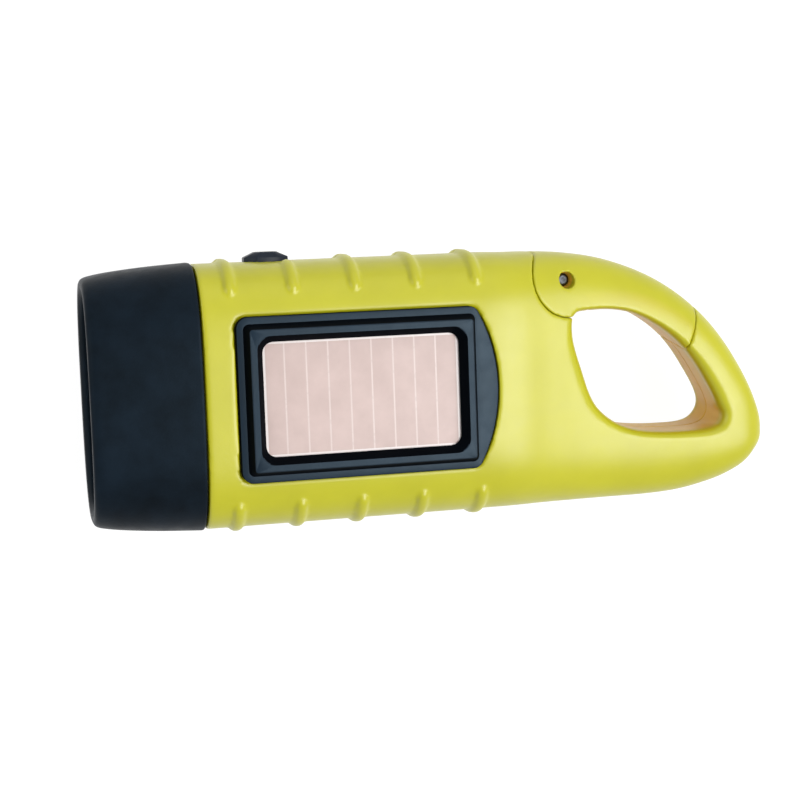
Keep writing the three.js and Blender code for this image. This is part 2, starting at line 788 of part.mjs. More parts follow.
function headBezel() {
  const outside = loft(
    bezelShares.map(([along, width, depth]) =>
      evenRing(along * headLength, width * headHalfWidth, depth * headHalfDepth),
    ),
  );
  const frontWidth = bezelBoreHalfWidth - lensTaper;
  const frontDepth = bezelBoreHalfDepth - lensTaper;
  const bore = loft([
    evenRing(lensLipDepth, frontWidth, frontDepth),
    evenRing(neckStart - jointGap, bezelBoreHalfWidth, bezelBoreHalfDepth),
    evenRing(headLength + overrun, bezelBoreHalfWidth, bezelBoreHalfDepth),
  ]);
  const mouth = headBar(-overrun, lensLipDepth + fitGap, frontWidth - lensLip, frontDepth - lensLip);
  return outside.subtract(bore).subtract(mouth);
}

const lensStart = lensLipDepth + jointGap;
const reflectorStart = lensStart + lensThickness + jointGap;
const reflectorEnd = neckStart - jointGap;
const lampBoardStart = neckStart + jointGap;
const opticHalfWidth = bezelBoreHalfWidth - lensTaper - jointGap;
const opticHalfDepth = bezelBoreHalfDepth - lensTaper - jointGap;
const cupPitch = cupPitchShare * opticHalfWidth;
const cupRadius = cupRadiusShare * cupPitch;

function lens() {
  return headBar(lensStart, lensStart + lensThickness, opticHalfWidth, opticHalfDepth);
}

function cupY(i) {
  return (i - (cupCount - 1) / 2) * cupPitch;
}

// A solid turned about the line through y along X, from [radius, x] rows.
function turnedAlongX(rows, y) {
  const profile = rows.map(([radius, x]) => new THREE.Vector2(radius, -x));
  const geometry = new THREE.LatheGeometry(profile.reverse(), roundSides);
  return solidOf(geometry.rotateZ(Math.PI / 2).translate(0, y, 0));
}

function reflector() {
  let mirror = headBar(reflectorStart, reflectorEnd, opticHalfWidth, opticHalfDepth);
  const depth = reflectorEnd - reflectorStart;
  for (let i = 0; i < cupCount; i++) {
    const rows = [[0, reflectorStart - overrun], [cupRadius, reflectorStart - overrun]];
    for (let k = 0; k <= lathePoints; k++) {
      const share = k / lathePoints;
      const radius = Math.sqrt(cupRadius ** 2 + share * (cupThroat ** 2 - cupRadius ** 2));
      rows.push([radius, reflectorStart + share * depth]);
    }
    rows.push([cupThroat, reflectorEnd + overrun], [0, reflectorEnd + overrun]);
    mirror = mirror.subtract(turnedAlongX(rows, cupY(i)));
  }
  return mirror;
}

function lamp(i) {
  const base = lampBoardStart - fitGap;
  const shoulder = base - lampLength + lampRadius;
  const rows = [];
  for (let k = 0; k <= lathePoints; k++) {
    const turn = ((k / lathePoints) * Math.PI) / 2;
    rows.push([k === 0 ? 0 : lampRadius * Math.sin(turn), shoulder - lampRadius * Math.cos(turn)]);
  }
  rows.push([lampRadius, base - lampFlangeThickness]);
  rows.push([lampFlangeRadius, base - lampFlangeThickness]);
  rows.push([lampFlangeRadius, base], [0, base]);
  return turnedAlongX(rows, cupY(i));
}

function lampBoard() {
  return headBar(
    lampBoardStart,
    lampBoardStart + lampBoardThickness,
    neckHalfWidth - neckWall - jointGap,
    neckHalfDepth - neckWall - jointGap,
  );
}

function headSeal() {
  const start = sealStart + fitGap;
  const end = sealStart + sealWidth - fitGap;
  const outer = headBar(start, end, bezelBoreHalfWidth - fitGap, bezelBoreHalfDepth - fitGap);
  const inner = headBar(
    start - overrun,
    end + overrun,
    neckHalfWidth - sealDepth + fitGap,
    neckHalfDepth - sealDepth + fitGap,
  );
  return outer.subtract(inner);
}

const windowHalfLength = ringHalfLength - ringInset - ledgeWidth;
const windowHalfWidth = ringHalfWidth - ringInset - ledgeWidth;
const windowCorner = ringCorner - ringInset - ledgeWidth / 2;

function solarFrame() {
  const plate = prism(frameOutline(0), frameSeat, frameTop);
  const ring = loft([
    roundedRing(ringHalfLength + ringDraft, ringHalfWidth + ringDraft, ringCorner, frameTop - fitGap),
    roundedRing(ringHalfLength, ringHalfWidth, ringCorner, ringTop),
  ]);
  const opening = roundedBar(
    ringHalfLength - ringInset,
    ringHalfWidth - ringInset,
    ringCorner - ringInset,
    frameTop + ledgeThickness,
    ringTop + overrun,
  );
  const window = roundedBar(windowHalfLength, windowHalfWidth, windowCorner, frameSeat - overrun, ringTop);
  const seat = roundedBar(
    windowHalfLength + panelOverlap + fitGap,
    windowHalfWidth + panelOverlap + fitGap,
    windowCorner,
    frameSeat - overrun,
    frameTop,
  );
  return plate.add(ring).subtract(opening).subtract(window).subtract(seat);
}

function solarPanel() {
  const top = frameTop - fitGap;
  return roundedBar(
    windowHalfLength + panelOverlap,
    windowHalfWidth + panelOverlap,
    windowCorner,
    top - panelThickness,
    top,
  );
}

function panelPad() {
  const bottom = frameSeat + fitGap / 2;
  return roundedBar(windowHalfLength, windowHalfWidth, windowCorner, bottom, bottom + padThickness);
}

// Places along Y behind the push button
const buttonSeat = bodyHalfWidth - sideWall - fitGap;
const flangeInner = buttonSeat - flangeThickness;
const switchFront = flangeInner - buttonTravel - fitGap;
const switchBack = switchFront - switchDepth;

function pushButton() {
  const stem = buttonHole(0, buttonSeat - fitGap, bodyHalfWidth + buttonProud - buttonDome);
  const dome = loft(
    buttonDomeShares.map(([share, rise]) => {
      const ring = [];
      for (let i = 0; i < roundSides; i++) {
        const turn = (i / roundSides) * 2 * Math.PI;
        const x = buttonX + share * buttonHalfLength * Math.sin(turn);
        const z = share * buttonHalfDepth * Math.cos(turn);
        ring.push(new THREE.Vector3(x, bodyHalfWidth + buttonProud - buttonDome * (1 - rise), z));
      }
      return ring;
    }),
  );
  return stem.add(dome).add(buttonHole(flangeWidth, flangeInner, buttonSeat));
}

function switchBody() {
  const box = block(
    buttonX - switchHalfLength,
    buttonX + switchHalfLength,
    switchBack,
    switchFront,
    -switchHalfDepth,
    switchHalfDepth,
  );
  const boreEnd = flangeInner - plungerLength - 2 * buttonTravel;
  const bore = rodAlongY(plungerRadius + fitGap, buttonX, 0, boreEnd, buttonSeat);
  return box.subtract(bore);
}

function switchPlunger() {
  return rodAlongY(plungerRadius, buttonX, 0, flangeInner - plungerLength, flangeInner - fitGap, pinSides);
}

function buttonSpring() {
  const outer = rodAlongY(buttonSpringRadius, buttonX, 0, switchFront + fitGap, flangeInner - fitGap);
  const inner = buttonSpringRadius - buttonSpringWire;
  return outer.subtract(rodAlongY(inner, buttonX, 0, switchBack, buttonSeat));
}

function crankArm() {
  const shape = new THREE.Shape();
  const lean = Math.asin((armHubRadius - armTipRadius) / knobHinge);
  shape.absarc(hubX, 0, armHubRadius - armBevel, -Math.PI / 2 - lean, Math.PI / 2 + lean, false);
  shape.absarc(hingeX, 0, armTipRadius - armBevel, Math.PI / 2 + lean, (3 * Math.PI) / 2 - lean, false);
  const geometry = new THREE.ExtrudeGeometry(shape, {
    depth: armTop + restDepth - 2 * armBevel,
    bevelThickness: armBevel,
    bevelSize: armBevel,
    bevelSegments: roundSteps - 1,
    curveSegments: roundSides / 2,
  });
  const bar = solidOf(geometry.translate(0, 0, armBevel - restDepth));
  const window = block(
    hingeX - eyeRadius - eyeGap,
    hingeX + knobStart + knobLength + eyeGap,
    -knobWindowHalfWidth,
    knobWindowHalfWidth,
    -restDepth - overrun,
    armTop + overrun,
  );
  const across = 2 * armTipRadius;
  const pinHole = rodAlongY(hingePinRadius + fitGap, hingeX, armMiddle, -across, across, pinSides);
  const hex = rodAlongZ(hexRadius + fitGap, hubX, 0, -restDepth - overrun, 0, hexSides);
  const recess = rodAlongZ(capRadius + fitGap, hubX, 0, -restDepth - overrun, armTop - hexLength);
  return bar.subtract(window).subtract(pinHole).subtract(hex).subtract(recess);
}

const hexEnd = armTop - hexLength;

function crankShaft() {
  const journal = rodAlongZ(shaftRadius, hubX, 0, armTop + fitGap, crankGearBottom - fitGap);
  const stub = rodAlongZ(hexRadius, hubX, 0, hexEnd + fitGap, armTop + 2 * fitGap, hexSides);
  const seat = rodAlongZ(gearSeatRadius, hubX, 0, crankGearBottom - 2 * fitGap, crankGearTop, hexSides);
  const pilotFloor = crankGearTop - axleSocket;
  const pilot = rodAlongZ(axleRadius + fitGap, hubX, 0, pilotFloor, crankGearTop + overrun, pinSides);
  const thread = rodAlongZ(
    screwShankRadius + fitGap,
    hubX,
    0,
    hexEnd - overrun,
    hexEnd + screwShankLength + fitGap,
    pinSides,
  );
  return journal.add(stub).add(seat).subtract(pilot).subtract(thread);
}

function crankBush() {
  const outer = rodAlongZ(bushRadius, hubX, 0, -backDepth, bushHeight - backDepth);
  return outer.subtract(rodAlongZ(shaftRadius + fitGap, hubX, 0, -restDepth, 0));
}

function crankScrew() {
  const headTop = hexEnd - fitGap;
  const head = rodAlongZ(screwHeadRadius, hubX, 0, headTop - screwHeadHeight, headTop);
  const shank = rodAlongZ(screwShankRadius, hubX, 0, headTop - fitGap, headTop + screwShankLength, pinSides);
  return head.add(shank).subtract(crossSlot(hubX, 0, headTop - screwHeadHeight, screwHeadRadius));
}

function crankHubCap() {
  return rodAlongZ(capRadius, hubX, 0, -restDepth, capThickness - restDepth);
}

function crossSlot(x, y, bottom, radius) {
  const half = slotWidth / 2;
  const reach = radius / 2;
  const along = block(x - reach, x + reach, y - half, y + half, bottom - overrun, bottom + slotDepth);
  const across = block(x - half, x + half, y - reach, y + reach, bottom - overrun, bottom + slotDepth);
  return along.add(across);
}

function knobHingePin() {
  const half = armTipRadius - armBevel;
  return rodAlongY(hingePinRadius, hingeX, armMiddle, -half, half, pinSides);
}

const knobEnd = hingeX + knobStart + knobLength;

function knobPost() {
  const half = knobWindowHalfWidth - jointGap;
  const eye = rodAlongY(eyeRadius, hingeX, armMiddle, -half, half);
  const postStart = hingeX + hingePinRadius + jointGap;
  const headEnd = knobEnd - fitGap;
  const post = rodAlongX(postRadius, 0, armMiddle, postStart, headEnd - postHeadLength / 2, pinSides);
  const head = rodAlongX(postHeadRadius, 0, armMiddle, headEnd - postHeadLength, headEnd, pinSides);
  const hole = rodAlongY(hingePinRadius + fitGap, hingeX, armMiddle, -armTipRadius, armTipRadius, pinSides);
  return eye.add(post).add(head).subtract(hole);
}

function knob() {
  const body = rodAlongX(knobRadius, 0, armMiddle, hingeX + knobStart, knobEnd);
  const bore = rodAlongX(postRadius + fitGap, 0, armMiddle, hingeX, knobEnd + overrun, pinSides);
  const recess = rodAlongX(
    postHeadRadius + fitGap,
    0,
    armMiddle,
    knobEnd - postHeadLength - 2 * fitGap,
    knobEnd + overrun,
    pinSides,
  );
  return body.subtract(bore).subtract(recess);
}

// A gear's outline: each tooth is a few points up one flank and down the other.
function gearShape(teeth, flankShares) {
  const pitchRadius = (gearModule * teeth) / 2;
  const baseRadius = pitchRadius * Math.cos(pressureAngle);
  const root = pitchRadius - gearModule * dedendumShare;
  const tip = pitchRadius + gearModule * addendumShare;
  const involute = (angle) => Math.tan(angle) - angle;
  const halfAtPitch = (Math.PI / 2 - toothSlackShare) / teeth;
  const halfAt = (radius) => {
    const angle = Math.acos(Math.min(1, baseRadius / radius));
    return halfAtPitch + involute(pressureAngle) - involute(angle);
  };
  const flank = flankShares.map((share) => root + share * (tip - root));
  const points = [];
  for (let i = 0; i < teeth; i++) {
    const middle = (i / teeth) * 2 * Math.PI;
    for (const radius of flank) {
      const turn = middle - halfAt(radius);
      points.push(new THREE.Vector2(radius * Math.cos(turn), radius * Math.sin(turn)));
    }
    for (const radius of [...flank].reverse()) {
      const turn = middle + halfAt(radius);
      points.push(new THREE.Vector2(radius * Math.cos(turn), radius * Math.sin(turn)));
    }
  }
  return new THREE.Shape(points);
}

function gearSolid(teeth, flankShares, x, z0, z1, turn) {
  const gear = prism(gearShape(teeth, flankShares), z0, z1);
  return gear.rotate([0, 0, turn]).translate([x, 0, 0]);
}

function crankGear() {
  const wheel = gearSolid(wheelTeeth, wheelFlankShares, hubX, crankGearBottom, crankGearTop, 0);
  return wheel.subtract(rodAlongZ(gearSeatRadius + fitGap, hubX, 0, -restDepth, restDepth, hexSides));
}

// A small pinion below and a wheel above it, on one axle.
function compoundGear(x, pinionBottom, wheelBottom) {
  const wheelTop = wheelBottom + gearThickness;
  const pinion = gearSolid(pinionTeeth, pinionFlankShares, x, pinionBottom, wheelBottom + fitGap, halfTooth);
  const wheel = gearSolid(wheelTeeth, wheelFlankShares, x, wheelBottom, wheelTop, 0);
  const bore = rodAlongZ(axleRadius + fitGap / 2, x, 0, -restDepth, restDepth, pinSides);
  return pinion.add(wheel).subtract(bore);
}

function rotorPinion() {
  const pinion = gearSolid(pinionTeeth, pinionFlankShares, idlerX, thirdLevel, dynamoLevel, halfTooth);
  const hub = rodAlongZ(rotorHubRadius, idlerX, 0, dynamoLevel - fitGap, dynamoLevel + magnetHeight);
  return pinion.add(hub).subtract(rodAlongZ(axleRadius + fitGap / 2, idlerX, 0, 0, restDepth, pinSides));
}

function ringAlongZ(outer, inner, z0, z1) {
  const bore = rodAlongZ(inner, idlerX, 0, z0 - overrun, z1 + overrun);
  return rodAlongZ(outer, idlerX, 0, z0, z1).subtract(bore);
}

function statorCore() {
  const top = dynamoLevel + coreHeight;
  const inner = coilOuterRadius + fitGap;
  let core = ringAlongZ(inner + coreThickness, inner, dynamoLevel, top);
  for (const side of [-1, 1]) {
    const y = side * earOffset;
    core = core.add(rodAlongZ(earRadius, idlerX, y, dynamoLevel, top));
    core = core.subtract(rodAlongZ(earPostRadius + fitGap, idlerX, y, 0, restDepth, pinSides));
  }
  return core.subtract(rodAlongZ(inner, idlerX, 0, 0, restDepth));
}

function mainBoard() {
  const top = boardBottom + boardThickness;
  const board = block(boardStart, boardEnd, -boardHalfWidth, boardHalfWidth, boardBottom, top);
  return board.subtract(rodAlongZ(boardHoleRadius, idlerX, 0, 0, restDepth));
}

function cell(i) {
  const start = (i - cellCount / 2) * (cellThickness + fitGap);
  return rodAlongY(cellRadius, cellX, cellRadius - cellBottom, start, start + cellThickness);
}

function shellScrew([x, y]) {
  const seat = -shellScrewSeat - fitGap;
  const head = rodAlongZ(shellScrewHead, x, y, seat - shellScrewHeadHeight, seat, pinSides);
  const shank = rodAlongZ(shellScrewRadius, x, y, seat - fitGap, shellScrewReach, pinSides);
  return head.add(shank).subtract(crossSlot(x, y, seat - shellScrewHeadHeight, shellScrewHead));
}

addPiece("head_bezel", headBezel(), blackPlastic);
addPiece("lens", lens(), clearPlastic);
addPiece("reflector", reflector(), mirrorCoat);
for (let i = 0; i < cupCount; i++) {
  addPiece(`led_${i + 1}`, lamp(i), lampPlastic);
}
addPiece("led_board", lampBoard(), greenBoard);
addPiece("head_seal", headSeal(), blackRubber);
addPiece("solar_side_shell", solarSideShell(), yellowPlastic);
addPiece("crank_side_shell", crankSideShell(), yellowPlastic);
addPiece("loop_gate", loopGate(), yellowPlastic);
addPiece("gate_pin", rodAlongZ(pinRadius, pinX, pinY, -pinBottom, pinTop, pinSides), steel);
addPiece("gate_spring", gateSpring(), steel);
addPiece("solar_frame", solarFrame(), blackPlastic);
addPiece("solar_panel", solarPanel(), panelFinish);
addPiece("panel_pad", panelPad(), foamPad);
addPiece("push_button", pushButton(), blackPlastic);
addPiece("switch_plunger", switchPlunger(), whiteNylon);
addPiece("button_spring", buttonSpring(), steel);
addPiece("switch_body", switchBody(), blackPlastic);
addPiece("crank_arm", crankArm(), blackPlastic);
addPiece("crank_hub_cap", crankHubCap(), blackPlastic);
addPiece("crank_screw", crankScrew(), steel);
addPiece("crank_shaft", crankShaft(), steel);
addPiece("crank_bush", crankBush(), brassBush);
addPiece("crank_gear", crankGear(), whiteNylon);
addPiece("knob_hinge_pin", knobHingePin(), steel);
addPiece("knob_post", knobPost(), steel);
addPiece("knob", knob(), blackPlastic);
addPiece("idler_gear", compoundGear(idlerX, crankGearBottom, secondLevel), whiteNylon);
addPiece("speed_gear", compoundGear(hubX, secondLevel, thirdLevel), whiteNylon);
addPiece("rotor_pinion", rotorPinion(), whiteNylon);
addPiece(
  "rotor_magnet",
  ringAlongZ(magnetRadius, rotorHubRadius + fitGap, dynamoLevel + fitGap, dynamoLevel + magnetHeight),
  magnetFinish,
);
addPiece(
  "stator_coil",
  ringAlongZ(coilOuterRadius, coilInnerRadius, dynamoLevel + fitGap, dynamoLevel + magnetHeight),
  copperWire,
);
addPiece("stator_core", statorCore(), steel);
addPiece(
  "idler_axle",
  rodAlongZ(axleRadius, idlerX, 0, crankGearBottom - axleSocket, ceiling - axleSocket / 2, pinSides),
  steel,
);
addPiece(
  "hub_axle",
  rodAlongZ(axleRadius, hubX, 0, crankGearTop - axleSocket + fitGap, ceiling - axleSocket / 2, pinSides),
  steel,
);
addPiece("main_board", mainBoard(), greenBoard);
for (let i = 0; i < cellCount; i++) {
  addPiece(`battery_cell_${i + 1}`, cell(i), cellWrap);
}
screwPlaces().forEach((place, i) => addPiece(`shell_screw_${i + 1}`, shellScrew(place), steel));

// The origin is under the middle of the flashlight, where it rests.
const ribEdge = bodyHalfWidth + ribProud;
const buttonEdge = bodyHalfWidth + buttonProud;
flashlight.position.set(-overallLength / 2, (ribEdge - buttonEdge) / 2, restDepth);

export default flashlight;
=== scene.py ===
import math

import bmesh
import bpy
from mathutils import Matrix, Vector
from mathutils.kdtree import KDTree


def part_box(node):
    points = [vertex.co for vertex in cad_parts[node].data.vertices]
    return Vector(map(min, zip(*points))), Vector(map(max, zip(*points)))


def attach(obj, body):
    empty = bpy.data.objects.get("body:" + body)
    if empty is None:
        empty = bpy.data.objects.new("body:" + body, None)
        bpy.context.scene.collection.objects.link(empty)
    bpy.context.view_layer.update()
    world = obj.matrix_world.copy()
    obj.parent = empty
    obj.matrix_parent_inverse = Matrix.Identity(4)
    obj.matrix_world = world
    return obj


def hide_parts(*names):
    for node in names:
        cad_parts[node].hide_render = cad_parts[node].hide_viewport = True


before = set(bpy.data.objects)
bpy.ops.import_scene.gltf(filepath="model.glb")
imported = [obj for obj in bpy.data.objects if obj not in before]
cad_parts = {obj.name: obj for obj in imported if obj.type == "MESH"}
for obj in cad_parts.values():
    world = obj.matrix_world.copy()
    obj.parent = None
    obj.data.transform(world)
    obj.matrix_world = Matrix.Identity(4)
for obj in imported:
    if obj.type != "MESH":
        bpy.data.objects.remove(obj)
for name in ("Cube", "Light", "Camera"):
    if name in bpy.data.objects:
        bpy.data.objects.remove(bpy.data.objects[name])
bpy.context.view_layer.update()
print("frame loaded")

# Pieces are drawn in millimetres from the lens rim, the body's middle line and the
# plane where the shells meet, as the CAD part is, then brought into the frame.
headLow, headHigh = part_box("head_bezel")
shellLow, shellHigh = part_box("solar_side_shell")
drawingOrigin = Vector((headLow[0], (headLow[1] + headHigh[1]) / 2, shellLow[2]))
toFrame = Matrix.Translation(drawingOrigin) @ Matrix.Scale(0.001, 4)

# Materials


def screenColour(red, green, blue):
    def linear(level):
        level /= 255
        return level / 12.92 if level <= 0.04045 else ((level + 0.055) / 1.055) ** 2.4

    return (linear(red), linear(green), linear(blue), 1)


class Nodes:
    # A node tree, and short ways to add and join its nodes
    def __init__(self, tree):
        self.tree = tree

    def add(self, kind, inputs=None, **settings):
        node = self.tree.nodes.new(kind)
        for name, value in settings.items():
            setattr(node, name, value)
        for name, value in (inputs or {}).items():
            self.put(node.inputs[name], value)
        return node

    def put(self, socket, value):
        if isinstance(value, bpy.types.NodeSocket):
            self.tree.links.new(value, socket)
        else:
            socket.default_value = value


class Finish(Nodes):
    # A material with its shader, textured in object coordinates
    def __init__(self, name):
        self.material = bpy.data.materials.new(name)
        self.material.use_nodes = True
        super().__init__(self.material.node_tree)
        self.shader = self.tree.nodes["Principled BSDF"]
        self.place = self.add("ShaderNodeTexCoord").outputs["Object"]

    def set(self, **values):
        for name, value in values.items():
            self.put(self.shader.inputs[name.replace("_", " ")], value)

    def noise(self, grain, detail=3.0, stretch=(1, 1, 1)):
        mapped = self.add("ShaderNodeMapping", {"Vector": self.place, "Scale": stretch})
        inputs = {"Vector": mapped.outputs["Vector"], "Scale": 1000 / grain, "Detail": detail}
        return self.add("ShaderNodeTexNoise", {**inputs, "Roughness": 0.55}).outputs["Fac"]

    def blend(self, factor, tones):
        # From the first tone at 0.3 to the second at 0.7, both as levels on screen
        node = self.add("ShaderNodeValToRGB", {"Fac": factor})
        for stop, place, tone in zip(node.color_ramp.elements, (0.3, 0.7), tones):
            stop.position = place
            stop.color = screenColour(*tone)
        return node.outputs["Color"]

    def spread(self, factor, low, high):
        inputs = {"Value": factor, "From Min": 0.3, "From Max": 0.7, "To Min": low, "To Max": high}
        return self.add("ShaderNodeMapRange", inputs).outputs["Result"]

    def bump(self, height, relief):
        # The relief is in millimetres
        inputs = {"Height": height, "Distance": relief / 1000}
        return self.add("ShaderNodeBump", inputs).outputs["Normal"]


def moulded(name, tones, grain, relief, roughness, patch=9.0, **more):
    finish = Finish(name)
    cloud = finish.noise(patch, 4)
    finish.set(Base_Color=finish.blend(cloud, tones))
    fine = finish.noise(grain, 2)
    finish.set(Roughness=finish.spread(finish.noise(grain * 6, 3), *roughness))
    finish.set(Normal=finish.bump(fine, relief), **more)
    return finish


def metal(name, tones, roughness, stretch=(1, 1, 1), relief=0.004, grain=0.4):
    finish = Finish(name)
    cloud = finish.noise(3, 4)
    finish.set(Metallic=1.0, Base_Color=finish.blend(cloud, tones))
    lines = finish.noise(grain, 3, stretch)
    finish.set(Roughness=finish.spread(lines, *roughness))
    finish.set(Normal=finish.bump(lines, relief))
    return finish


bodyYellow = moulded(
    "body yellow plastic", ((188, 185, 8), (195, 192, 14)), grain=0.35, relief=0.006,
    roughness=(0.32, 0.37),
)
# Painted warm bounce light: the hole's wall and the pin's bowl get a brighter orange colour and
# less reflection than the outside
holeBounceLight = bodyYellow.add("ShaderNodeAttribute", attribute_name="holeBounceLight").outputs["Fac"]
plain = bodyYellow.shader.inputs["Base Color"].links[0].from_socket
mixed = {"Fac": holeBounceLight, "Color1": plain, "Color2": screenColour(230, 190, 84)}
# The orange here is painted bounce light in the recess, not the plastic's own colour
warm = bodyYellow.add("ShaderNodeMixRGB", mixed).outputs["Color"]
bodyYellow.set(Base_Color=warm, Specular_IOR_Level=bodyYellow.spread(holeBounceLight, 0.68, 0.1))
headBlack = moulded(
    "head black plastic", ((4, 8, 14), (17, 27, 37)), grain=0.45, relief=0.02,
    roughness=(0.4, 0.5), Specular_IOR_Level=0.1, Specular_Tint=(0.62, 0.84, 1.0, 1),
)
frameBlack = moulded(
    "frame black plastic", ((8, 20, 32), (12, 28, 42)), grain=0.4, relief=0.02,
    roughness=(0.34, 0.42), Specular_IOR_Level=0.3, Specular_Tint=(0.66, 0.86, 1.0, 1),
)
# A darker, less glossy copy of the frame's black for its sloping sides: painted shade
framePaintedShade = moulded(
    "frame black plastic, painted shade on sloping sides", ((2, 4, 8), (5, 8, 13)), grain=0.4, relief=0.02,
    roughness=(0.5, 0.6), Specular_IOR_Level=0.02, Specular_Tint=(0.62, 0.84, 1.0, 1),
)
buttonBlack = moulded(
    "button black plastic", ((16, 24, 36), (24, 34, 48)), grain=0.4, relief=0.01,
    roughness=(0.34, 0.44), Specular_IOR_Level=0.2,
)
crankBlack = moulded(
    "crank black plastic", ((12, 18, 26), (17, 24, 34)), grain=0.45, relief=0.02,
    roughness=(0.4, 0.5), Specular_IOR_Level=0.15,
)
sealRubber = moulded(
    "seal rubber", ((16, 16, 17), (30, 30, 31)), grain=0.3, relief=0.02, roughness=(0.75, 0.9),
)
switchBlack = moulded(
    "switch black plastic", ((22, 22, 24), (30, 30, 33)), grain=0.3, relief=0.01,
    roughness=(0.45, 0.6),
)
whiteNylon = moulded(
    "white nylon", ((222, 219, 208), (236, 233, 224)), grain=0.4, relief=0.006,
    roughness=(0.38, 0.5),
)
foamGrey = moulded(
    "foam", ((34, 34, 34), (58, 58, 58)), grain=0.5, relief=0.12, roughness=(0.9, 1.0),
    patch=1.2,
)
steelBright = metal("steel", ((168, 172, 176), (196, 199, 203)), (0.2, 0.34))
pinSteel = metal("pin steel", ((78, 81, 86), (104, 107, 112)), (0.46, 0.58))
brassBush = metal("brass", ((186, 152, 84), (205, 172, 102)), (0.28, 0.4))
copperWound = metal(
    "copper winding", ((184, 108, 62), (206, 128, 76)), (0.25, 0.4), stretch=(0.1, 0.1, 2),
    relief=0.06, grain=0.5,
)
magnetGrey = metal("magnet", ((84, 86, 90), (104, 106, 110)), (0.3, 0.46))
coreSteel = metal("core steel", ((120, 122, 126), (142, 144, 148)), (0.3, 0.45))
mirrorBright = metal(
    "reflector mirror", ((226, 228, 230), (238, 239, 240)), (0.05, 0.12), relief=0.001,
)


def clearPlastic(name, tones, roughness):
    finish = Finish(name)
    finish.set(Base_Color=finish.blend(finish.noise(6), tones))
    finish.set(Transmission_Weight=1.0, IOR=1.49)
    finish.set(Roughness=finish.spread(finish.noise(4, 4), *roughness))
    finish.set(Normal=finish.bump(finish.noise(5, 2), 0.004))
    return finish


lensClear = clearPlastic("lens clear plastic", ((243, 247, 250), (250, 252, 253)), (0.02, 0.05))
lampClear = clearPlastic("lamp clear resin", ((240, 243, 246), (250, 251, 252)), (0.03, 0.07))


def circuitBoard(name, tones):
    finish = Finish(name)
    inputs = {"Vector": finish.place, "Scale": 700.0, "Mortar Size": 0.03}
    weave = finish.add("ShaderNodeTexBrick", inputs).outputs["Fac"]
    finish.set(Base_Color=finish.blend(finish.noise(5, 5), tones))
    finish.set(Roughness=finish.spread(finish.noise(1, 3), 0.3, 0.45))
    finish.set(Normal=finish.bump(weave, 0.02))
    return finish


boardGreen = circuitBoard("circuit board", ((22, 82, 48), (32, 104, 62)))
cellGreen = moulded(
    "cell wrapping", ((38, 104, 60), (48, 122, 72)), grain=0.6, relief=0.01,
    roughness=(0.3, 0.42),
)

panelBeige = moulded(
    "panel strips", ((204, 182, 176), (214, 192, 186)), grain=0.25, relief=0.004,
    roughness=(0.28, 0.36), patch=5, Specular_IOR_Level=0.3,
)
panelLine = moulded(
    "panel lines", ((218, 200, 195), (226, 209, 204)), grain=0.25, relief=0.004,
    roughness=(0.25, 0.35),
)
panelEdge = moulded(
    "panel edge", ((236, 226, 222), (241, 232, 229)), grain=0.25, relief=0.004,
    roughness=(0.25, 0.35),
)
print("materials made")

# Mesh helpers


def softCorners(rows, reach, steps=4):
    # A broken line with its corners rounded over a length of reach, or reach[i] at row i
    rows = [Vector(row) for row in rows]
    soft = [rows[0]]
    for i in range(1, len(rows) - 1):
        corner = rows[i]
        size = reach[i] if isinstance(reach, (list, tuple)) else reach
        before, after = rows[i - 1] - corner, rows[i + 1] - corner
        if size == 0:
            soft.append(corner)
            continue
        start = corner + before.normalized() * min(size, before.length * 0.48)
        end = corner + after.normalized() * min(size, after.length * 0.48)
        for k in range(steps + 1):
            t = k / steps
            soft.append(start * (1 - t) ** 2 + corner * 2 * t * (1 - t) + end * t**2)
    soft.append(rows[-1])
    return soft


def curveThrough(rows, steps, closed=False):
    # Centripetal Catmull-Rom through rows of numbers
    points = [Vector(row) for row in rows]
    count = len(points)
    if not closed:
        points = [points[0] * 2 - points[1], *points, points[-1] * 2 - points[-2]]
    out = []
    for i in range(count if closed else count - 1):
        four = [points[(i + k) % len(points)] for k in (range(-1, 3) if closed else range(4))]
        knots = [0.0]
        for k in range(3):
            knots.append(knots[-1] + max((four[k + 1] - four[k]).length, 1e-6) ** 0.5)
        for k in range(steps):
            t = knots[1] + (knots[2] - knots[1]) * k / steps
            level = list(four)
            for depth in (1, 2, 3):
                for j in range(4 - depth):
                    low, high = (knots[j], knots[j + depth]) if depth < 3 else (knots[1], knots[2])
                    share = (t - low) / (high - low)
                    level[j] = level[j] * (1 - share) + level[j + 1] * share
            out.append(level[0])
    if not closed:
        out.append(points[-2])
    return out


def loft(rings, ends="capped"):
    # A circle is moved to the first ring and extruded on to each next one
    bm = bmesh.new()
    step = bm.verts.layers.int.new("step")
    count = len(rings[0])
    circle = bmesh.ops.create_circle(bm, segments=count, radius=1)["verts"]
    circle.sort(key=lambda v: math.atan2(v.co.y, v.co.x))
    for i, v in enumerate(circle):
        v[step] = i
        v.co = rings[0][i]
    first = list({e for v in circle for e in v.link_edges})
    edges = first
    for ring in rings[1:]:
        made = bmesh.ops.extrude_edge_only(bm, edges=edges)["geom"]
        verts = {v for v in made if isinstance(v, bmesh.types.BMVert)}
        edges = [e for e in made if isinstance(e, bmesh.types.BMEdge) and set(e.verts) <= verts]
        for v in verts:
            v.co = ring[v[step]]
    if ends == "capped":
        for loop in (first, edges):
            bmesh.ops.edgeloop_fill(bm, edges=loop)
    elif ends == "joined":
        bmesh.ops.bridge_loops(bm, edges=first + edges)
    bmesh.ops.recalc_face_normals(bm, faces=bm.faces)
    return bm


def signedPower(value, exponent):
    return math.copysign(abs(value) ** exponent, value)


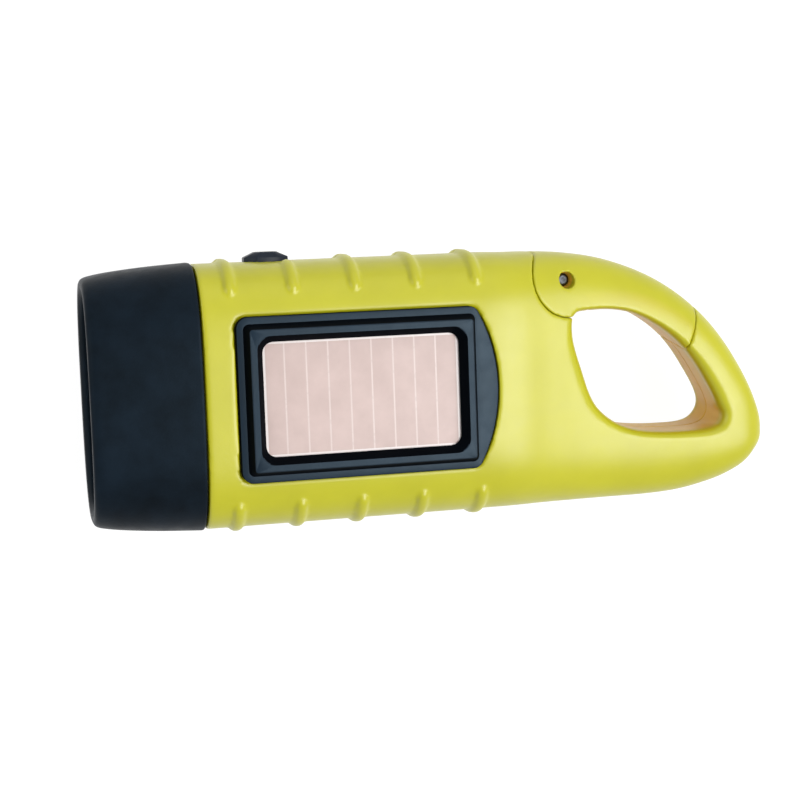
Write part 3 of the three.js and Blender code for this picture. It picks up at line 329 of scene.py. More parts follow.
def section(x, low, high, bottom, top, exponent, count=96):
    # A rounded section across the flashlight
    ring = []
    for i in range(count):
        turn = 2 * math.pi * i / count
        across = signedPower(math.cos(turn), 2 / exponent)
        up = signedPower(math.sin(turn), 2 / exponent)
        y = (low + high) / 2 + across * (high - low) / 2
        ring.append(Vector((x, y, up * top if up > 0 else -up * bottom)))
    return ring


def evenSection(x, halfWidth, halfDepth, exponent, count=96):
    return section(x, -halfWidth, halfWidth, -halfDepth, halfDepth, exponent, count)


def bar(x0, x1, halfWidth, halfDepth, exponent):
    rows = [evenSection(x, halfWidth, halfDepth, exponent) for x in (x0, x1)]
    return loft(rows)


def rod(radius, start, end, segments=48):
    # A plain round bar for cutting and joining
    start, end = Vector(start), Vector(end)
    along = end - start
    bm = bmesh.new()
    turn = Vector((0, 0, 1)).rotation_difference(along).to_matrix().to_4x4()
    place = Matrix.Translation((start + end) / 2) @ turn
    sizes = {"radius1": radius, "radius2": radius, "depth": along.length}
    bmesh.ops.create_cone(bm, cap_ends=True, segments=segments, matrix=place, **sizes)
    return bm


def upright(radius, x, y, low, high, segments=48):
    return rod(radius, (x, y, low), (x, y, high), segments)


def block(low, high):
    low, high = Vector(low), Vector(high)
    bm = bmesh.new()
    size = Matrix.Diagonal((*(high - low), 1))
    bmesh.ops.create_cube(bm, size=1, matrix=Matrix.Translation((low + high) / 2) @ size)
    return bm


def turned(profile, start, axis, segments=64):
    # Profile rows are (radius, place along the axis), spun from start along axis
    bm = bmesh.new()
    verts = [bm.verts.new((row[0], 0, row[1])) for row in profile]
    edges = [bm.edges.new(pair) for pair in zip(verts, verts[1:])]
    whole = {"cent": (0, 0, 0), "axis": (0, 0, 1), "angle": 2 * math.pi, "use_merge": True}
    bmesh.ops.spin(bm, geom=verts + edges, steps=segments, **whole)
    bmesh.ops.remove_doubles(bm, verts=bm.verts, dist=1e-4)
    turn = Vector((0, 0, 1)).rotation_difference(Vector(axis)).to_matrix().to_4x4()
    bmesh.ops.transform(bm, matrix=Matrix.Translation(start) @ turn, verts=bm.verts)
    bmesh.ops.recalc_face_normals(bm, faces=bm.faces)
    return bm


def prism(outline, z0, z1):
    bm = bmesh.new()
    face = bm.faces.new([bm.verts.new((x, y, z0)) for x, y in outline])
    made = bmesh.ops.extrude_face_region(bm, geom=[face])["geom"]
    raised = [v for v in made if isinstance(v, bmesh.types.BMVert)]
    bmesh.ops.translate(bm, verts=raised, vec=(0, 0, z1 - z0))
    bmesh.ops.recalc_face_normals(bm, faces=bm.faces)
    return bm


def arc(cx, cy, radius, start, end, steps):
    turns = [start + (end - start) * k / steps for k in range(steps + 1)]
    return [(cx + radius * math.cos(turn), cy + radius * math.sin(turn)) for turn in turns]


def edgeRound(size, steps):
    # Rows of inset and depth over a rounded edge, from its side to its top
    turns = [k / steps * math.pi / 2 for k in range(steps + 1)]
    return [(size * (1 - math.sin(turn)), size * (1 - math.cos(turn))) for turn in turns]


def linked(name, data):
    obj = bpy.data.objects.new(name, data)
    bpy.context.scene.collection.objects.link(obj)
    return obj


def looseObject(bm, name):
    mesh = bpy.data.meshes.new(name)
    bm.to_mesh(mesh)
    return linked(name, mesh)


def addModifier(obj, kind, **settings):
    modifier = obj.modifiers.new("change", kind)
    for name, value in settings.items():
        setattr(modifier, name, value)


def applied(obj, others=()):
    # The object's mesh with its modifiers, as a new bmesh, and the objects gone
    graph = bpy.context.evaluated_depsgraph_get()
    bm = bmesh.new()
    bm.from_mesh(obj.evaluated_get(graph).to_mesh())
    for each in (obj, *others):
        mesh = each.data
        bpy.data.objects.remove(each)
        bpy.data.meshes.remove(mesh)
    return bm


def cut(bm, cutters, operation="DIFFERENCE"):
    target = looseObject(bm, "blank")
    tools = []
    for cutter in cutters:
        tools.append(looseObject(cutter, "cutter"))
        settings = {"operation": operation, "solver": "MANIFOLD", "object": tools[-1]}
        addModifier(target, "BOOLEAN", **settings)
    return applied(target, tools)


def joined(pieces):
    bm = bmesh.new()
    for piece in pieces:
        mesh = bpy.data.meshes.new("part")
        piece.to_mesh(mesh)
        bm.from_mesh(mesh)
        bpy.data.meshes.remove(mesh)
    return bm


def oneSkin(bm, voxel, passes):
    # One even skin round everything, with its edges softened
    obj = looseObject(bm, "blank")
    addModifier(obj, "REMESH", mode="VOXEL", voxel_size=voxel, adaptivity=0)
    bm = applied(obj)
    axes = {f"use_axis_{axis}": True for axis in "xyz"}
    for _ in range(passes):
        bmesh.ops.smooth_vert(bm, verts=bm.verts, factor=0.5, **axes)
    return bm


def bevelled(bm, width, angle):
    # Rounds every edge sharper than the angle, in degrees
    obj = looseObject(bm, "blank")
    limit = {"limit_method": "ANGLE", "angle_limit": math.radians(angle)}
    addModifier(obj, "BEVEL", width=width, segments=3, use_clamp_overlap=True, **limit)
    return applied(obj)


def addPiece(name, bm, finishes, body, nodes, angle=38):
    # Brings a drawn piece into the frame and shades it, with edges sharper than angle kept
    bmesh.ops.transform(bm, matrix=toFrame, verts=bm.verts)
    for face in bm.faces:
        face.smooth = True
    limit = math.radians(angle)
    for edge in bm.edges:
        edge.smooth = len(edge.link_faces) != 2 or edge.calc_face_angle() < limit
    obj = looseObject(bm, name)
    bm.free()
    for finish in finishes if isinstance(finishes, tuple) else (finishes,):
        obj.data.materials.append(finish.material)
    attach(obj, body)
    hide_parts(*nodes)
    return obj


# Head bezel

bezel = {
    "length": 20.8,
    "halfWidth": 25.9,
    "halfDepth": 16.0,
    "exponent": 2.8,
    "sides": 160,
    # place along the head, share of its half width, share of its half depth
    "outside": [
        (1.0, 0.978, 0.968), (1.0, 0.995, 0.992), (0.985, 1.0, 1.0), (0.58, 0.981, 0.99),
        (0.22, 0.951, 0.965), (0.05, 0.925, 0.949), (0.012, 0.908, 0.925),
        (0.0, 0.888, 0.9),
    ],
    "mouth": (21.1, 11.3),
    "seat": (22.4, 12.6),
    "bore": (23.6, 13.8),
    "lipDepth": 2.0,
    "boreStart": 11.7,
}


def bezelRings():
    full = (bezel["length"], bezel["halfWidth"], bezel["halfDepth"])
    rows = [tuple(a * b for a, b in zip(row, full)) for row in bezel["outside"]]
    outside = softCorners(rows, [0, 0.2, 0.3, 4, 3, 0.9, 0.5, 0], 5)
    mouth, seat, bore = bezel["mouth"], bezel["seat"], bezel["bore"]
    lip = bezel["lipDepth"]
    inside = [rows[-1], (0.0, mouth[0] + 0.9, mouth[1] + 0.9), (0.75, *mouth), (lip, *mouth)]
    inside += [(lip, *seat), (bezel["boreStart"], *bore), (bezel["length"], *bore)]
    inside = softCorners(inside, [0, 0.4, 0.4, 0.15, 0, 0, 0])
    rows = outside + inside[1:]
    return [evenSection(x, w, d, bezel["exponent"], bezel["sides"]) for x, w, d in rows]


bezelSolid = loft(bezelRings(), ends="joined")
addPiece("headBezel", bezelSolid, headBlack, "body", ["head_bezel"], angle=50)
print("head bezel made")

# Lens, reflector and lamps

optics = {
    "halfWidth": 22.1,
    "halfDepth": 12.3,
    "exponent": 2.8,
    "lensStart": 2.3,
    "lensEnd": 3.9,
    "mirrorStart": 4.2,
    "mirrorEnd": 11.7,
    "cupPitch": 14.08,
    "cupRadius": 6.64,
    "cupThroat": 3.2,
    "lampEnd": 12.15,
    "lampRadius": 2.5,
    "flangeRadius": 2.9,
    "flangeThickness": 1.0,
    "lampLength": 7.6,
}


def lensSolid():
    start, end = optics["lensStart"], optics["lensEnd"]
    rows = [(start, 1.3), (start, 0.6), (start + 0.12, 0.15), (start + 0.5, 0)]
    rows += [(end - 0.3, 0), (end - 0.1, 0.1), (end, 0.35)]
    width, depth = optics["halfWidth"], optics["halfDepth"]
    exponent = optics["exponent"]
    rings = [evenSection(x, width - inset, depth - inset, exponent, 120) for x, inset in rows]
    return loft(rings)


def cupCutter(y):
    start, end = optics["mirrorStart"], optics["mirrorEnd"]
    wide, throat = optics["cupRadius"], optics["cupThroat"]
    profile = [(0, -1), (wide, -1)]
    for k in range(21):
        share = k / 20
        profile.append((math.sqrt(wide**2 + share * (throat**2 - wide**2)), share * (end - start)))
    profile += [(throat, end - start + 1), (0, end - start + 1)]
    return turned(profile, (start, y, 0), (1, 0, 0), 72)


def lampSolid(y):
    length, radius = optics["lampLength"], optics["lampRadius"]
    profile = []
    for k in range(13):
        turn = k / 12 * math.pi / 2
        profile.append((radius * math.sin(turn), radius * (1 - math.cos(turn))))
    flange = length - optics["flangeThickness"]
    rim = optics["flangeRadius"]
    profile += [(radius, flange - 0.1), (radius + 0.1, flange), (rim - 0.1, flange)]
    profile += [(rim, flange + 0.12), (rim, length - 0.1), (rim - 0.1, length), (0, length)]
    return turned(profile, (optics["lampEnd"] - length, y, 0), (1, 0, 0), 48)


addPiece("lensPane", lensSolid(), lensClear, "body", ["lens"])
mirrorBar = bar(
    optics["mirrorStart"], optics["mirrorEnd"], optics["halfWidth"], optics["halfDepth"],
    optics["exponent"],
)
cups = [cupCutter((i - 1) * optics["cupPitch"]) for i in range(3)]
mirror = cut(mirrorBar, cups)
addPiece("reflectorCups", mirror, mirrorBright, "body", ["reflector"], angle=30)
for i in range(3):
    y = (i - 1) * optics["cupPitch"]
    addPiece(f"lamp{i + 1}", lampSolid(y), lampClear, "body", [f"led_{i + 1}"])
print("lens, reflector and lamps made")

# Body shells

body = {
    "start": 21.1,
    "gripEnd": 79.05,
    "end": 137.0,
    "halfWidth": 25.6,
    "backDepth": 9.2,
    "faceHeight": 15.0,
    "loopFaceHeight": 10.5,
    "exponent": 3.2,
    "edgeRound": 0.5,
    "sideWall": 2.2,
    "ceiling": 12.0,
    "cavityDepth": 7.0,
    "bulkhead": 2.2,
    "cavityFlare": 4.5,
    "voxel": 0.36,
    "passes": 2,
    "lap": 0.12,
    "clear": 18.0,  # a height and a depth past the body, for what cuts through it
    # place along the loop, share of the half width at the button edge and at the
    # other edge, how much of the grip's height is left, share of the loop's thickness
    "loop": [
        (0.07, 0.994, -1, 0.9, 1), (0.17, 0.991, -0.997, 0.62, 1),
        (0.29, 0.973, -0.996, 0.34, 1), (0.43, 0.915, -0.996, 0.12, 1),
        (0.58, 0.789, -0.994, 0.02, 1), (0.69, 0.641, -0.976, 0, 1),
        (0.79, 0.445, -0.93, 0, 1), (0.86, 0.246, -0.88, 0, 0.98),
        (0.93, -0.028, -0.794, 0, 0.92), (0.97, -0.248, -0.688, 0, 0.8),
        (0.99, -0.39, -0.622, 0, 0.62), (1, -0.49, -0.579, 0, 0.36),
    ],
}
neck = {
    "start": 12.0,
    "halfWidth": 23.3,
    "halfDepth": 13.5,
    "wall": 2.1,
    "exponent": 2.8,
    "grooveStart": 15.6,
    "grooveEnd": 17.2,
    "grooveDepth": 1.0,
    "lead": 0.4,
}


def bodyRows():
    # Rows of x, low edge, high edge, bottom and top
    half, back, face = body["halfWidth"], body["backDepth"], body["faceHeight"]
    grip = (-half, half, -back, face)
    rounded = []
    for inset, deep in edgeRound(body["edgeRound"], 4):
        sizes = [size - math.copysign(inset, size) for size in grip]
        rounded.append((body["start"] + deep, *sizes))
    loop = [(body["gripEnd"] - 8, *grip), (body["gripEnd"], *grip)]
    length = body["end"] - body["gripEnd"]
    for along, high, low, blend, depth in body["loop"]:
        top = depth * (body["loopFaceHeight"] + blend * (face - body["loopFaceHeight"]))
        x = body["gripEnd"] + along * length
        loop.append((x, low * half, high * half, -depth * back, top))
    return [Vector(row) for row in rounded] + curveThrough(loop, 5)


bodySections = bodyRows()


def heightAt(x, column):
    # Column 3 is the body's bottom and column 4 its top
    for before, after in zip(bodySections, bodySections[1:]):
        if after[0] >= x:
            share = (x - before[0]) / (after[0] - before[0])
            return before[column] + share * (after[column] - before[column])
    return bodySections[-1][column]


def bodyForm():
    return loft([section(*row, body["exponent"], 112) for row in bodySections])


loopHole = {
    "centre": (111.42, 0.98),
    "halfLength": 16.6,
    "halfWidth": 13.06,
    "round": 2.4,
    "past": 2,
    "lean": 1.9,
    "leanWay": (0.86, 0.51, 0),
    "outline": [
        (-1, 0.62), (-0.96, 0.9), (-0.64, 1), (-0.09, 0.92), (0.45, 0.5), (0.8, -0.087),
        (1, -0.69), (0.876, -0.935), (0.4, -1), (-0.316, -0.875), (-0.7, -0.525),
        (-0.894, 0.074),
    ],
}


def holePath():
    cx, cy = loopHole["centre"]
    corners = [
        (cx + along * loopHole["halfLength"], cy + across * loopHole["halfWidth"], 0)
        for along, across in loopHole["outline"]
    ]
    return curveThrough(corners, 10, closed=True)


def holeForm():
    cx, cy = loopHole["centre"]
    path = holePath()
    count = len(path)
    outward = []
    for i in range(count):
        along = (path[(i + 1) % count] - path[i - 1]).normalized()
        side = Vector((along.y, -along.x, 0))
        outward.append(side if side.dot(path[i] - Vector((cx, cy, 0))) > 0 else -side)
    leanWay = Vector(loopHole["leanWay"])

    def ringAt(offset, depth, side):
        # The upper right wall leans inwards towards the face
        ring = []
        for point, out in zip(path, outward):
            lean = loopHole["lean"] * max(0, out.dot(leanWay)) ** 1.5 if side > 0 else 0
            moved = point + out * (offset - lean)
            moved.z = heightAt(moved.x, 4 if side > 0 else 3) - side * depth
            ring.append(moved)
        return ring

    size, past = loopHole["round"], loopHole["past"]
    low = [ringAt(inset, deep, -1) for inset, deep in edgeRound(size, 8)]
    high = [ringAt(inset, deep, 1) for inset, deep in edgeRound(size, 8)]
    return loft([ringAt(size, -past, -1), *low, *high[::-1], ringAt(size, -past, 1)])


def markHoleBounceLight(bm):
    # Mask for the painted warm bounce light: 1 on the hole's wall, fading to 0 over its rounded
    # edges, and 1 in the pin's bowl
    path = holePath()
    tree = KDTree(len(path))
    for i, point in enumerate(path):
        tree.insert(point, i)
    tree.balance()
    mark = bm.verts.layers.float.new("holeBounceLight")
    fade = loopHole["round"]
    for v in bm.verts:
        away = tree.find((v.co.x, v.co.y, 0))[2]
        if away > 2 * fade:
            continue
        top = heightAt(v.co.x, 4) if v.co.z > 0 else heightAt(v.co.x, 3)
        deep = min(1, max(0, (abs(top) - abs(v.co.z) - 0.3 * fade) / (1.3 * fade)))
        near = min(1, max(0, 1.4 - away / fade))
        v[mark] = deep * near
    px, py = gate["pin"]
    for v in bm.verts:
        if math.hypot(v.co.x - px, v.co.y - py) < gate["pinHole"] and v.co.z < gate["bowl"][3][1]:
            v[mark] = 1
    return bm


gate = {
    "pin": (94.12, 19.6),
    "hubRadius": 7.3,
    "seam": 7.6,
    "tipRadius": 29.3,
    "tipTurns": (-0.62, -0.13),
    "hubStart": 2.3,
    "hubEnd": 4.8,
    "innerEnd": 5.32,
    "gap": 0.1,
    "lug": (-4.3, 2.5),
    "slot": (-4.6, 5.3),
    "lugRadius": 3.85,
    "roomRadius": 4.2,
    "roomGap": 0.45,
    "roomRise": 1.6,
    "pinHole": 1.6,
    "pinRoom": 1.34,
    "bowl": [(1.34, 7.0), (1.4, 7.4), (1.55, 7.8), (1.65, 8.6), (1.7, 12.0)],
    "voxel": 0.28,
    "passes": 2,
}


def gateOutline(gap, hubEnd):
    px, py = gate["pin"]
    outside = body["halfWidth"] + 2
    seamX = px + (gate["hubRadius"] + gap) * math.cos(gate["hubStart"])
    outline = [(px + gate["tipRadius"] + gap, outside), (seamX, outside)]
    outline += arc(px, py, gate["hubRadius"] + gap, gate["hubStart"], hubEnd, 40)
    outline += arc(px, py, gate["tipRadius"] + gap, *gate["tipTurns"], 24)
    return outline


def gateCut():
    px, py = gate["pin"]
    low, high = gate["lug"]
    radius = gate["hubRadius"]
    root = block((px - gate["seam"] - 2, py - radius - 2, low), (px, py, high))
    lug = upright(gate["lugRadius"], px, py, low, high, 72)
    outline = gateOutline(gate["gap"], gate["hubEnd"])
    return cut(prism(outline, -body["clear"], body["clear"]), [lug, root])


def cavity():
    width, depth = neck["halfWidth"] - neck["wall"], neck["halfDepth"] - neck["wall"]
    wide = body["halfWidth"] - body["sideWall"]
    start = body["start"] - body["bulkhead"]
    exponent = body["exponent"]
    low, high = -body["cavityDepth"], body["ceiling"]
    full = (-wide, wide, low, high)
    rows = [(start, -width, width, low, depth), (start + body["cavityFlare"], *full)]
    return loft([section(*row, exponent) for row in (*rows, (body["gripEnd"], *full))])


def neckBar():
    start, end = neck["start"], body["start"] + 1
    width, depth, exponent = neck["halfWidth"], neck["halfDepth"], neck["exponent"]
    wall, deep, lead = neck["wall"], neck["grooveDepth"], neck["lead"]
    rows = [
        (start, width - wall, depth - wall),
        (start, width - lead, depth - lead),
        (start + lead, width, depth),
        (neck["grooveStart"], width, depth),
        (neck["grooveStart"], width - deep, depth - deep),
        (neck["grooveEnd"], width - deep, depth - deep),
        (neck["grooveEnd"], width, depth),
        (end, width, depth),
        (end, width - wall, depth - wall),
    ]
    return loft([evenSection(x, w, d, exponent) for x, w, d in rows], ends="joined")


ribs = {
    "first": 26.95,
    "pitch": 11.97,
    "count": 5,
    "halfWidth": 1.05,
    "proud": 0.8,
    "endLength": 1.9,  # the length of a rounded end, in half widths
    "middle": (0, 2),  # a point inside the body, as y and z
    "steps": 48,
    "segments": 20,
    "reach": 19.6,
    "buttonGap": 4.4,
}


def ribPath(side):
    # Points round one edge of the body, as y and z
    half, back, face = body["halfWidth"], body["backDepth"], body["faceHeight"]
    power = 2 / body["exponent"]
    limit = math.acos((ribs["reach"] / half) ** (1 / power))
    steps = ribs["steps"]
    rows = []
    for k in range(-steps, steps + 1):
        turn = limit * signedPower(k / steps, 1.5)
        y = half * math.cos(turn) ** power
        up = signedPower(math.sin(turn), power)
        rows.append(Vector((side * y, up * (face if up > 0 else back))))
    return rows


def ribBar(x, rows):
    rings = []
    middle = Vector(ribs["middle"])
    lengths = [0.0]
    for before, after in zip(rows, rows[1:]):
        lengths.append(lengths[-1] + (after - before).length)
    for i, point in enumerate(rows):
        along = (rows[min(i + 1, len(rows) - 1)] - rows[max(i - 1, 0)]).normalized()
        out = Vector((along.y, -along.x))
        if out.dot(point - middle) < 0:
            out = -out
        fromEnd = min(lengths[i], lengths[-1] - lengths[i])
        share = min(fromEnd / (ribs["endLength"] * ribs["halfWidth"]), 1)
        size = math.sqrt(max(0.02, 1 - (1 - share) ** 2))
        ring = []
        for k in range(ribs["segments"]):
            turn = 2 * math.pi * k / ribs["segments"]
            place = point + out * (ribs["proud"] * size * signedPower(math.sin(turn), 0.6))
            ring.append(Vector((x + ribs["halfWidth"] * size * math.cos(turn), *place)))
        rings.append(ring)
    return loft(rings)


def ribBars():
    bars = []
    for i in range(ribs["count"]):
        x = ribs["first"] + i * ribs["pitch"]
        for side in (-1, 1):
            rows = ribPath(side)
            if i == 1 and side > 0:
                gap = ribs["buttonGap"]
                bars.append(ribBar(x, [row for row in rows if row.y > gap]))
                bars.append(ribBar(x, [row for row in rows if row.y < -gap]))
            else:
                bars.append(ribBar(x, rows))
    return bars


screws = {
    "places": [(28.3, 18.3), (28.3, -18.3), (82.92, 18.3), (82.92, -18.3)],
    "bossRadius": 3.5,
    "shank": 1.25,
    "headHole": 2.55,
    "seat": -5.9,
    "headRadius": 2.4,
    "headHeight": 1.3,
    "shankRadius": 1.1,
    "slotHalfLength": 1.2,
    "slotHalfWidth": 0.35,
    "slotDepth": 0.6,
    "end": 6.5,
}
button = {
    "x": 35.75,
    "halfLength": 4.37,
    "halfDepth": 2.9,
    "proud": 1.8,
    "gap": 0.22,
    "flange": 0.7,
    "flangeGap": 0.15,
    "seat": 23.25,
    "flangeThickness": 0.9,
    "flat": 2.1,
    "flatShare": 0.4,
    "sideShare": 0.52,
    # insets of the length and the depth, and the drop from the top
    "slopes": [
        ((0, 0), 1.12), ((0.06, 0.03), 1.0), ((1.9, 0.42), 0.16), ((2.1, 0.6), 0.03),
        ((2.4, 0.9), 0),
    ],
}


def oval(halfLength, halfDepth, y):
    turns = [2 * math.pi * i / 64 for i in range(64)]
    places = [(math.cos(turn) * halfLength, math.sin(turn) * halfDepth) for turn in turns]
    return [Vector((button["x"] + along, y, up)) for along, up in places]


def buttonHole(margin, y0, y1):
    length, depth = button["halfLength"] + margin, button["halfDepth"] + margin
    return loft([oval(length, depth, y) for y in (y0, y1)])


gears = {
    "hub": 71.14,
    "idler": 50.39,
    "seatRadius": 2.6,
    "seat": (9.2, 12.3),
    "boreRadius": 5.55,
    "boreEnd": 1.0,
    "sleeveRadius": 7.6,
    "sleeve": (-7.3, -6.0),
}


def halfOf(bm, side):
    # Keeps the half above or below the shells' plane, with the little that the skin takes off
    geom = [*bm.verts, *bm.edges, *bm.faces]
    plane = {"plane_co": (0, 0, -side * body["lap"]), "plane_no": (0, 0, -side)}
    bmesh.ops.bisect_plane(bm, geom=geom, clear_outer=True, dist=1e-5, **plane)
    bmesh.ops.holes_fill(bm, edges=[e for e in bm.edges if e.is_boundary])
    bmesh.ops.recalc_face_normals(bm, faces=bm.faces)
    return bm


def shellBlank(cutters):
    px, py = gate["pin"]
    inner = body["halfWidth"] - body["sideWall"]
    shared = [
        cavity(),
        holeForm(),
        gateCut(),
        buttonHole(button["gap"], 0, body["halfWidth"] + 2),
        buttonHole(button["flange"] + button["flangeGap"], inner - 3, inner),
        upright(gate["pinHole"], px, py, -body["clear"], body["clear"]),
    ]
    return cut(bodyForm(), shared + cutters)


solarFrame = {
    "start": 27.3,
    "end": 77.8,
    "bulge": 4.2,
    "halfWidth": 15.7,
    "corner": 2.3,
    "tailCorner": 1.9,
    "seat": 13.4,
    "top": 15.4,
    "ringCentre": 51.0,
    "ringHalfLength": 21.4,
    "ringHalfWidth": 13.28,
    "ringDraft": 1.05,
    "ringCorner": 0.6,
    "innerCorner": 2.7,
    "ringTop": 17.8,
    "rim": 1.2,
    "slope": 1.2,
    "ledgeTop": 15.8,
    "ledgeCorner": 2.1,
    "setBack": 0.65,  # how far the wall under the ledge stands back
    "sideCorner": 0.4,
    "sideSlant": 0.8,  # faces that slant more than this get the darker, duller copy of the frame's finish, which is painted shade
    "cornerSteps": 10,
    "sideSteps": 12,
}


def between(start, end):
    # The points inside a straight side
    sides = solarFrame["sideSteps"]
    return [tuple(a + (b - a) * k / sides for a, b in zip(start, end)) for k in range(1, sides)]


def frameRing(left, right, halfWidth, corner, tailCorner, bulge, z):
    # A four-sided outline with round corners whose right side may bulge
    steps, quarter = solarFrame["cornerSteps"], math.pi / 2
    x, y = left + corner, halfWidth - corner
    tailX, tailY, slant = right - tailCorner, halfWidth - tailCorner, 0
    rightSide = between((right, -tailY), (right, tailY))
    if bulge > 0:
        radius = (halfWidth**2 + bulge**2) / (2 * bulge)
        slant = math.asin(tailY / (radius - tailCorner))
        tailX = right - radius + (radius - tailCorner) * math.cos(slant)
        rightSide = arc(right - radius, 0, radius, -slant, slant, solarFrame["sideSteps"])[1:-1]
    points = arc(x, -y, corner, 2 * quarter, 3 * quarter, steps)
    points += between((x, -halfWidth), (tailX, -halfWidth))
    points += arc(tailX, -tailY, tailCorner, -quarter, -slant, steps)
    points += rightSide
    points += arc(tailX, tailY, tailCorner, slant, quarter, steps)
    points += between((tailX, halfWidth), (x, halfWidth))
    points += arc(x, y, corner, quarter, 2 * quarter, steps)
    points += between((left, y), (left, -y))
    return [Vector((*point, z)) for point in points]


def plateRing(inset, z):
    s = solarFrame
    least = s["sideCorner"]
    corner, tailCorner = max(s["corner"] - inset, least), max(s["tailCorner"] - inset, least)
    left, right, halfWidth = s["start"] + inset, s["end"] - inset, s["halfWidth"] - inset
    return frameRing(left, right, halfWidth, corner, tailCorner, s["bulge"], z)


def windowRing(inset, z, corner):
    centre, half = solarFrame["ringCentre"], solarFrame["ringHalfLength"] - inset
    halfWidth = solarFrame["ringHalfWidth"] - inset
    return frameRing(centre - half, centre + half, halfWidth, corner, corner, 0, z)


def solarPocket():
    rings = [plateRing(-0.3, z) for z in (solarFrame["seat"], body["faceHeight"] + 2)]
    return loft(rings)


def bosses(side):
    # Screw bosses kept inside the body's outside
    end = body["ceiling"] + 0.3 if side > 0 else -body["backDepth"]
    places = screws["places"]
    blanks = [upright(screws["bossRadius"], x, y, 0, end) for x, y in places]
    return [cut(blank, [bodyForm()], "INTERSECT") for blank in blanks]


def shellHalf(side, cutters, holes, more):
    # Half of the body with its half of the neck and the ribs, its bosses and what more holds
    pieces = [halfOf(shellBlank(cutters), side), halfOf(neckBar(), side)]
    pieces += [halfOf(rib, side) for rib in ribBars()]
    pieces += [cut(boss, holes) for boss in bosses(side)]
    return markHoleBounceLight(oneSkin(joined(pieces + more), body["voxel"], body["passes"]))


def solarSideShell():
    end = screws["end"] + 0.15
    holes = [upright(screws["shank"], x, y, -2, end) for x, y in screws["places"]]
    axles = (gears["idler"], gears["hub"])
    seats = [upright(gears["seatRadius"], x, 0, *gears["seat"]) for x in axles]
    return shellHalf(1, [solarPocket()], holes, seats)


def crankSideShell():
    x, low = gears["hub"], -body["clear"]
    bore = upright(gears["boreRadius"], x, 0, low, gears["boreEnd"])
    sleeve = cut(upright(gears["sleeveRadius"], x, 0, *gears["sleeve"]), [bore])
    holes = []
    for x, y in screws["places"]:
        holes.append(upright(screws["shank"], x, y, low, 1))
        holes.append(upright(screws["headHole"], x, y, low, screws["seat"]))
    return shellHalf(-1, [bore, *holes], holes, [sleeve])


def pinBowl():
    # The recess in the gate's face that shows the pin's end
    px, py = gate["pin"]
    rows = gate["bowl"]
    profile = [(0, rows[0][1]), *rows, (0, rows[-1][1])]
    return turned(profile, (px, py, 0), (0, 0, 1), 48)


def loopGate():
    px, py = gate["pin"]
    low, high = gate["slot"]
    radius, clear = gate["hubRadius"], body["clear"]
    form = prism(gateOutline(0, gate["innerEnd"]), -clear, clear)
    blank = cut(bodyForm(), [form], "INTERSECT")
    roomEnd = py + gate["roomRise"]  # past it the room is closed on the outer side
    wide = upright(radius + gate["roomGap"], px, py, low, high, 72)
    cutters = [
        holeForm(),
        cut(wide, [block((px - 20, roomEnd, -clear), (px + 20, roomEnd + 20, clear))]),
        upright(gate["roomRadius"], px, py, low, high, 72),
        block((px - gate["seam"] - 2, py - radius - 2, low), (px, roomEnd, high)),
        upright(gate["pinRoom"], px, py, -clear, clear),
        pinBowl(),
    ]
    return markHoleBounceLight(oneSkin(cut(blank, cutters), gate["voxel"], gate["passes"]))


for name, shell, node in (
    ("solarSideShell", solarSideShell, "solar_side_shell"),
    ("crankSideShell", crankSideShell, "crank_side_shell"),
):
    addPiece(name, shell(), bodyYellow, "body", [node], angle=70)
addPiece("loopGate", loopGate(), bodyYellow, "gate", ["loop_gate"], angle=70)
print("body shells and gate made")

# Gate pin

pin = {"radius": 1.3, "low": -6.8, "high": 7.4, "hollow": 0.45}


def gatePin():
    radius, low, high, hollow = pin.values()
    profile = [(0, low), (radius - 0.25, low), (radius, low + 0.25), (radius, high - 0.5)]
    profile += [(radius - 0.32, high - 0.18), (radius - 0.42, high), (hollow, high)]
    profile.append((0, high - 0.15))
    return turned(softCorners(profile, 0.1, 2), (*gate["pin"], 0), (0, 0, 1), 48)


addPiece("gatePin", gatePin(), pinSteel, "body", ["gate_pin"])

# Solar frame and panel


def solarFrameSolid():
    s = solarFrame
    draft, corner, inner = s["ringDraft"], s["ringCorner"], s["innerCorner"]
    rim, slope, ledge = s["rim"], s["rim"] + s["slope"], s["ledgeCorner"]
    rings = [
        plateRing(0, s["seat"]),
        plateRing(0, s["top"] - 0.3),
        plateRing(0.08, s["top"] - 0.1),
        plateRing(0.3, s["top"]),
        windowRing(-draft, s["top"], corner + draft / 2),
        windowRing(-0.12, s["ringTop"] - 0.14, corner),
        windowRing(0.08, s["ringTop"], corner),
        windowRing(rim - 0.06, s["ringTop"], inner),
        windowRing(rim + 0.06, s["ringTop"] - 0.12, inner),
        windowRing(slope - 0.1, s["ledgeTop"], ledge),
        windowRing(slope, s["ledgeTop"] - 0.15, ledge),
        windowRing(slope, s["top"], ledge),
        windowRing(slope - s["setBack"], s["top"], ledge),
        windowRing(slope - s["setBack"], s["seat"], ledge),
    ]
    solid = loft(rings, ends="joined")
    for face in solid.faces:
        # Sloping faces take the second finish, the frame's black with painted shade
        face.material_index = 1 if abs(face.normal.z) < s["sideSlant"] else 0
    return solid


blacks = (frameBlack, framePaintedShade)
addPiece("solarFrame", solarFrameSolid(), blacks, "body", ["solar_frame"], angle=32)

panel = {
    "halfLength": 19.45,
    "halfWidth": 11.25,
    "top": 15.25,
    "thickness": 1.05,
    "corner": 2.1,
    "strips": 9,
    "firstStrip": 3.75,
    "line": 0.3,
    "window": 18.62,
    "edge": 0.8,
    "plateDrop": 0.03,
    "lineDrop": 0.01,
    "stripDepth": 0.2,
}


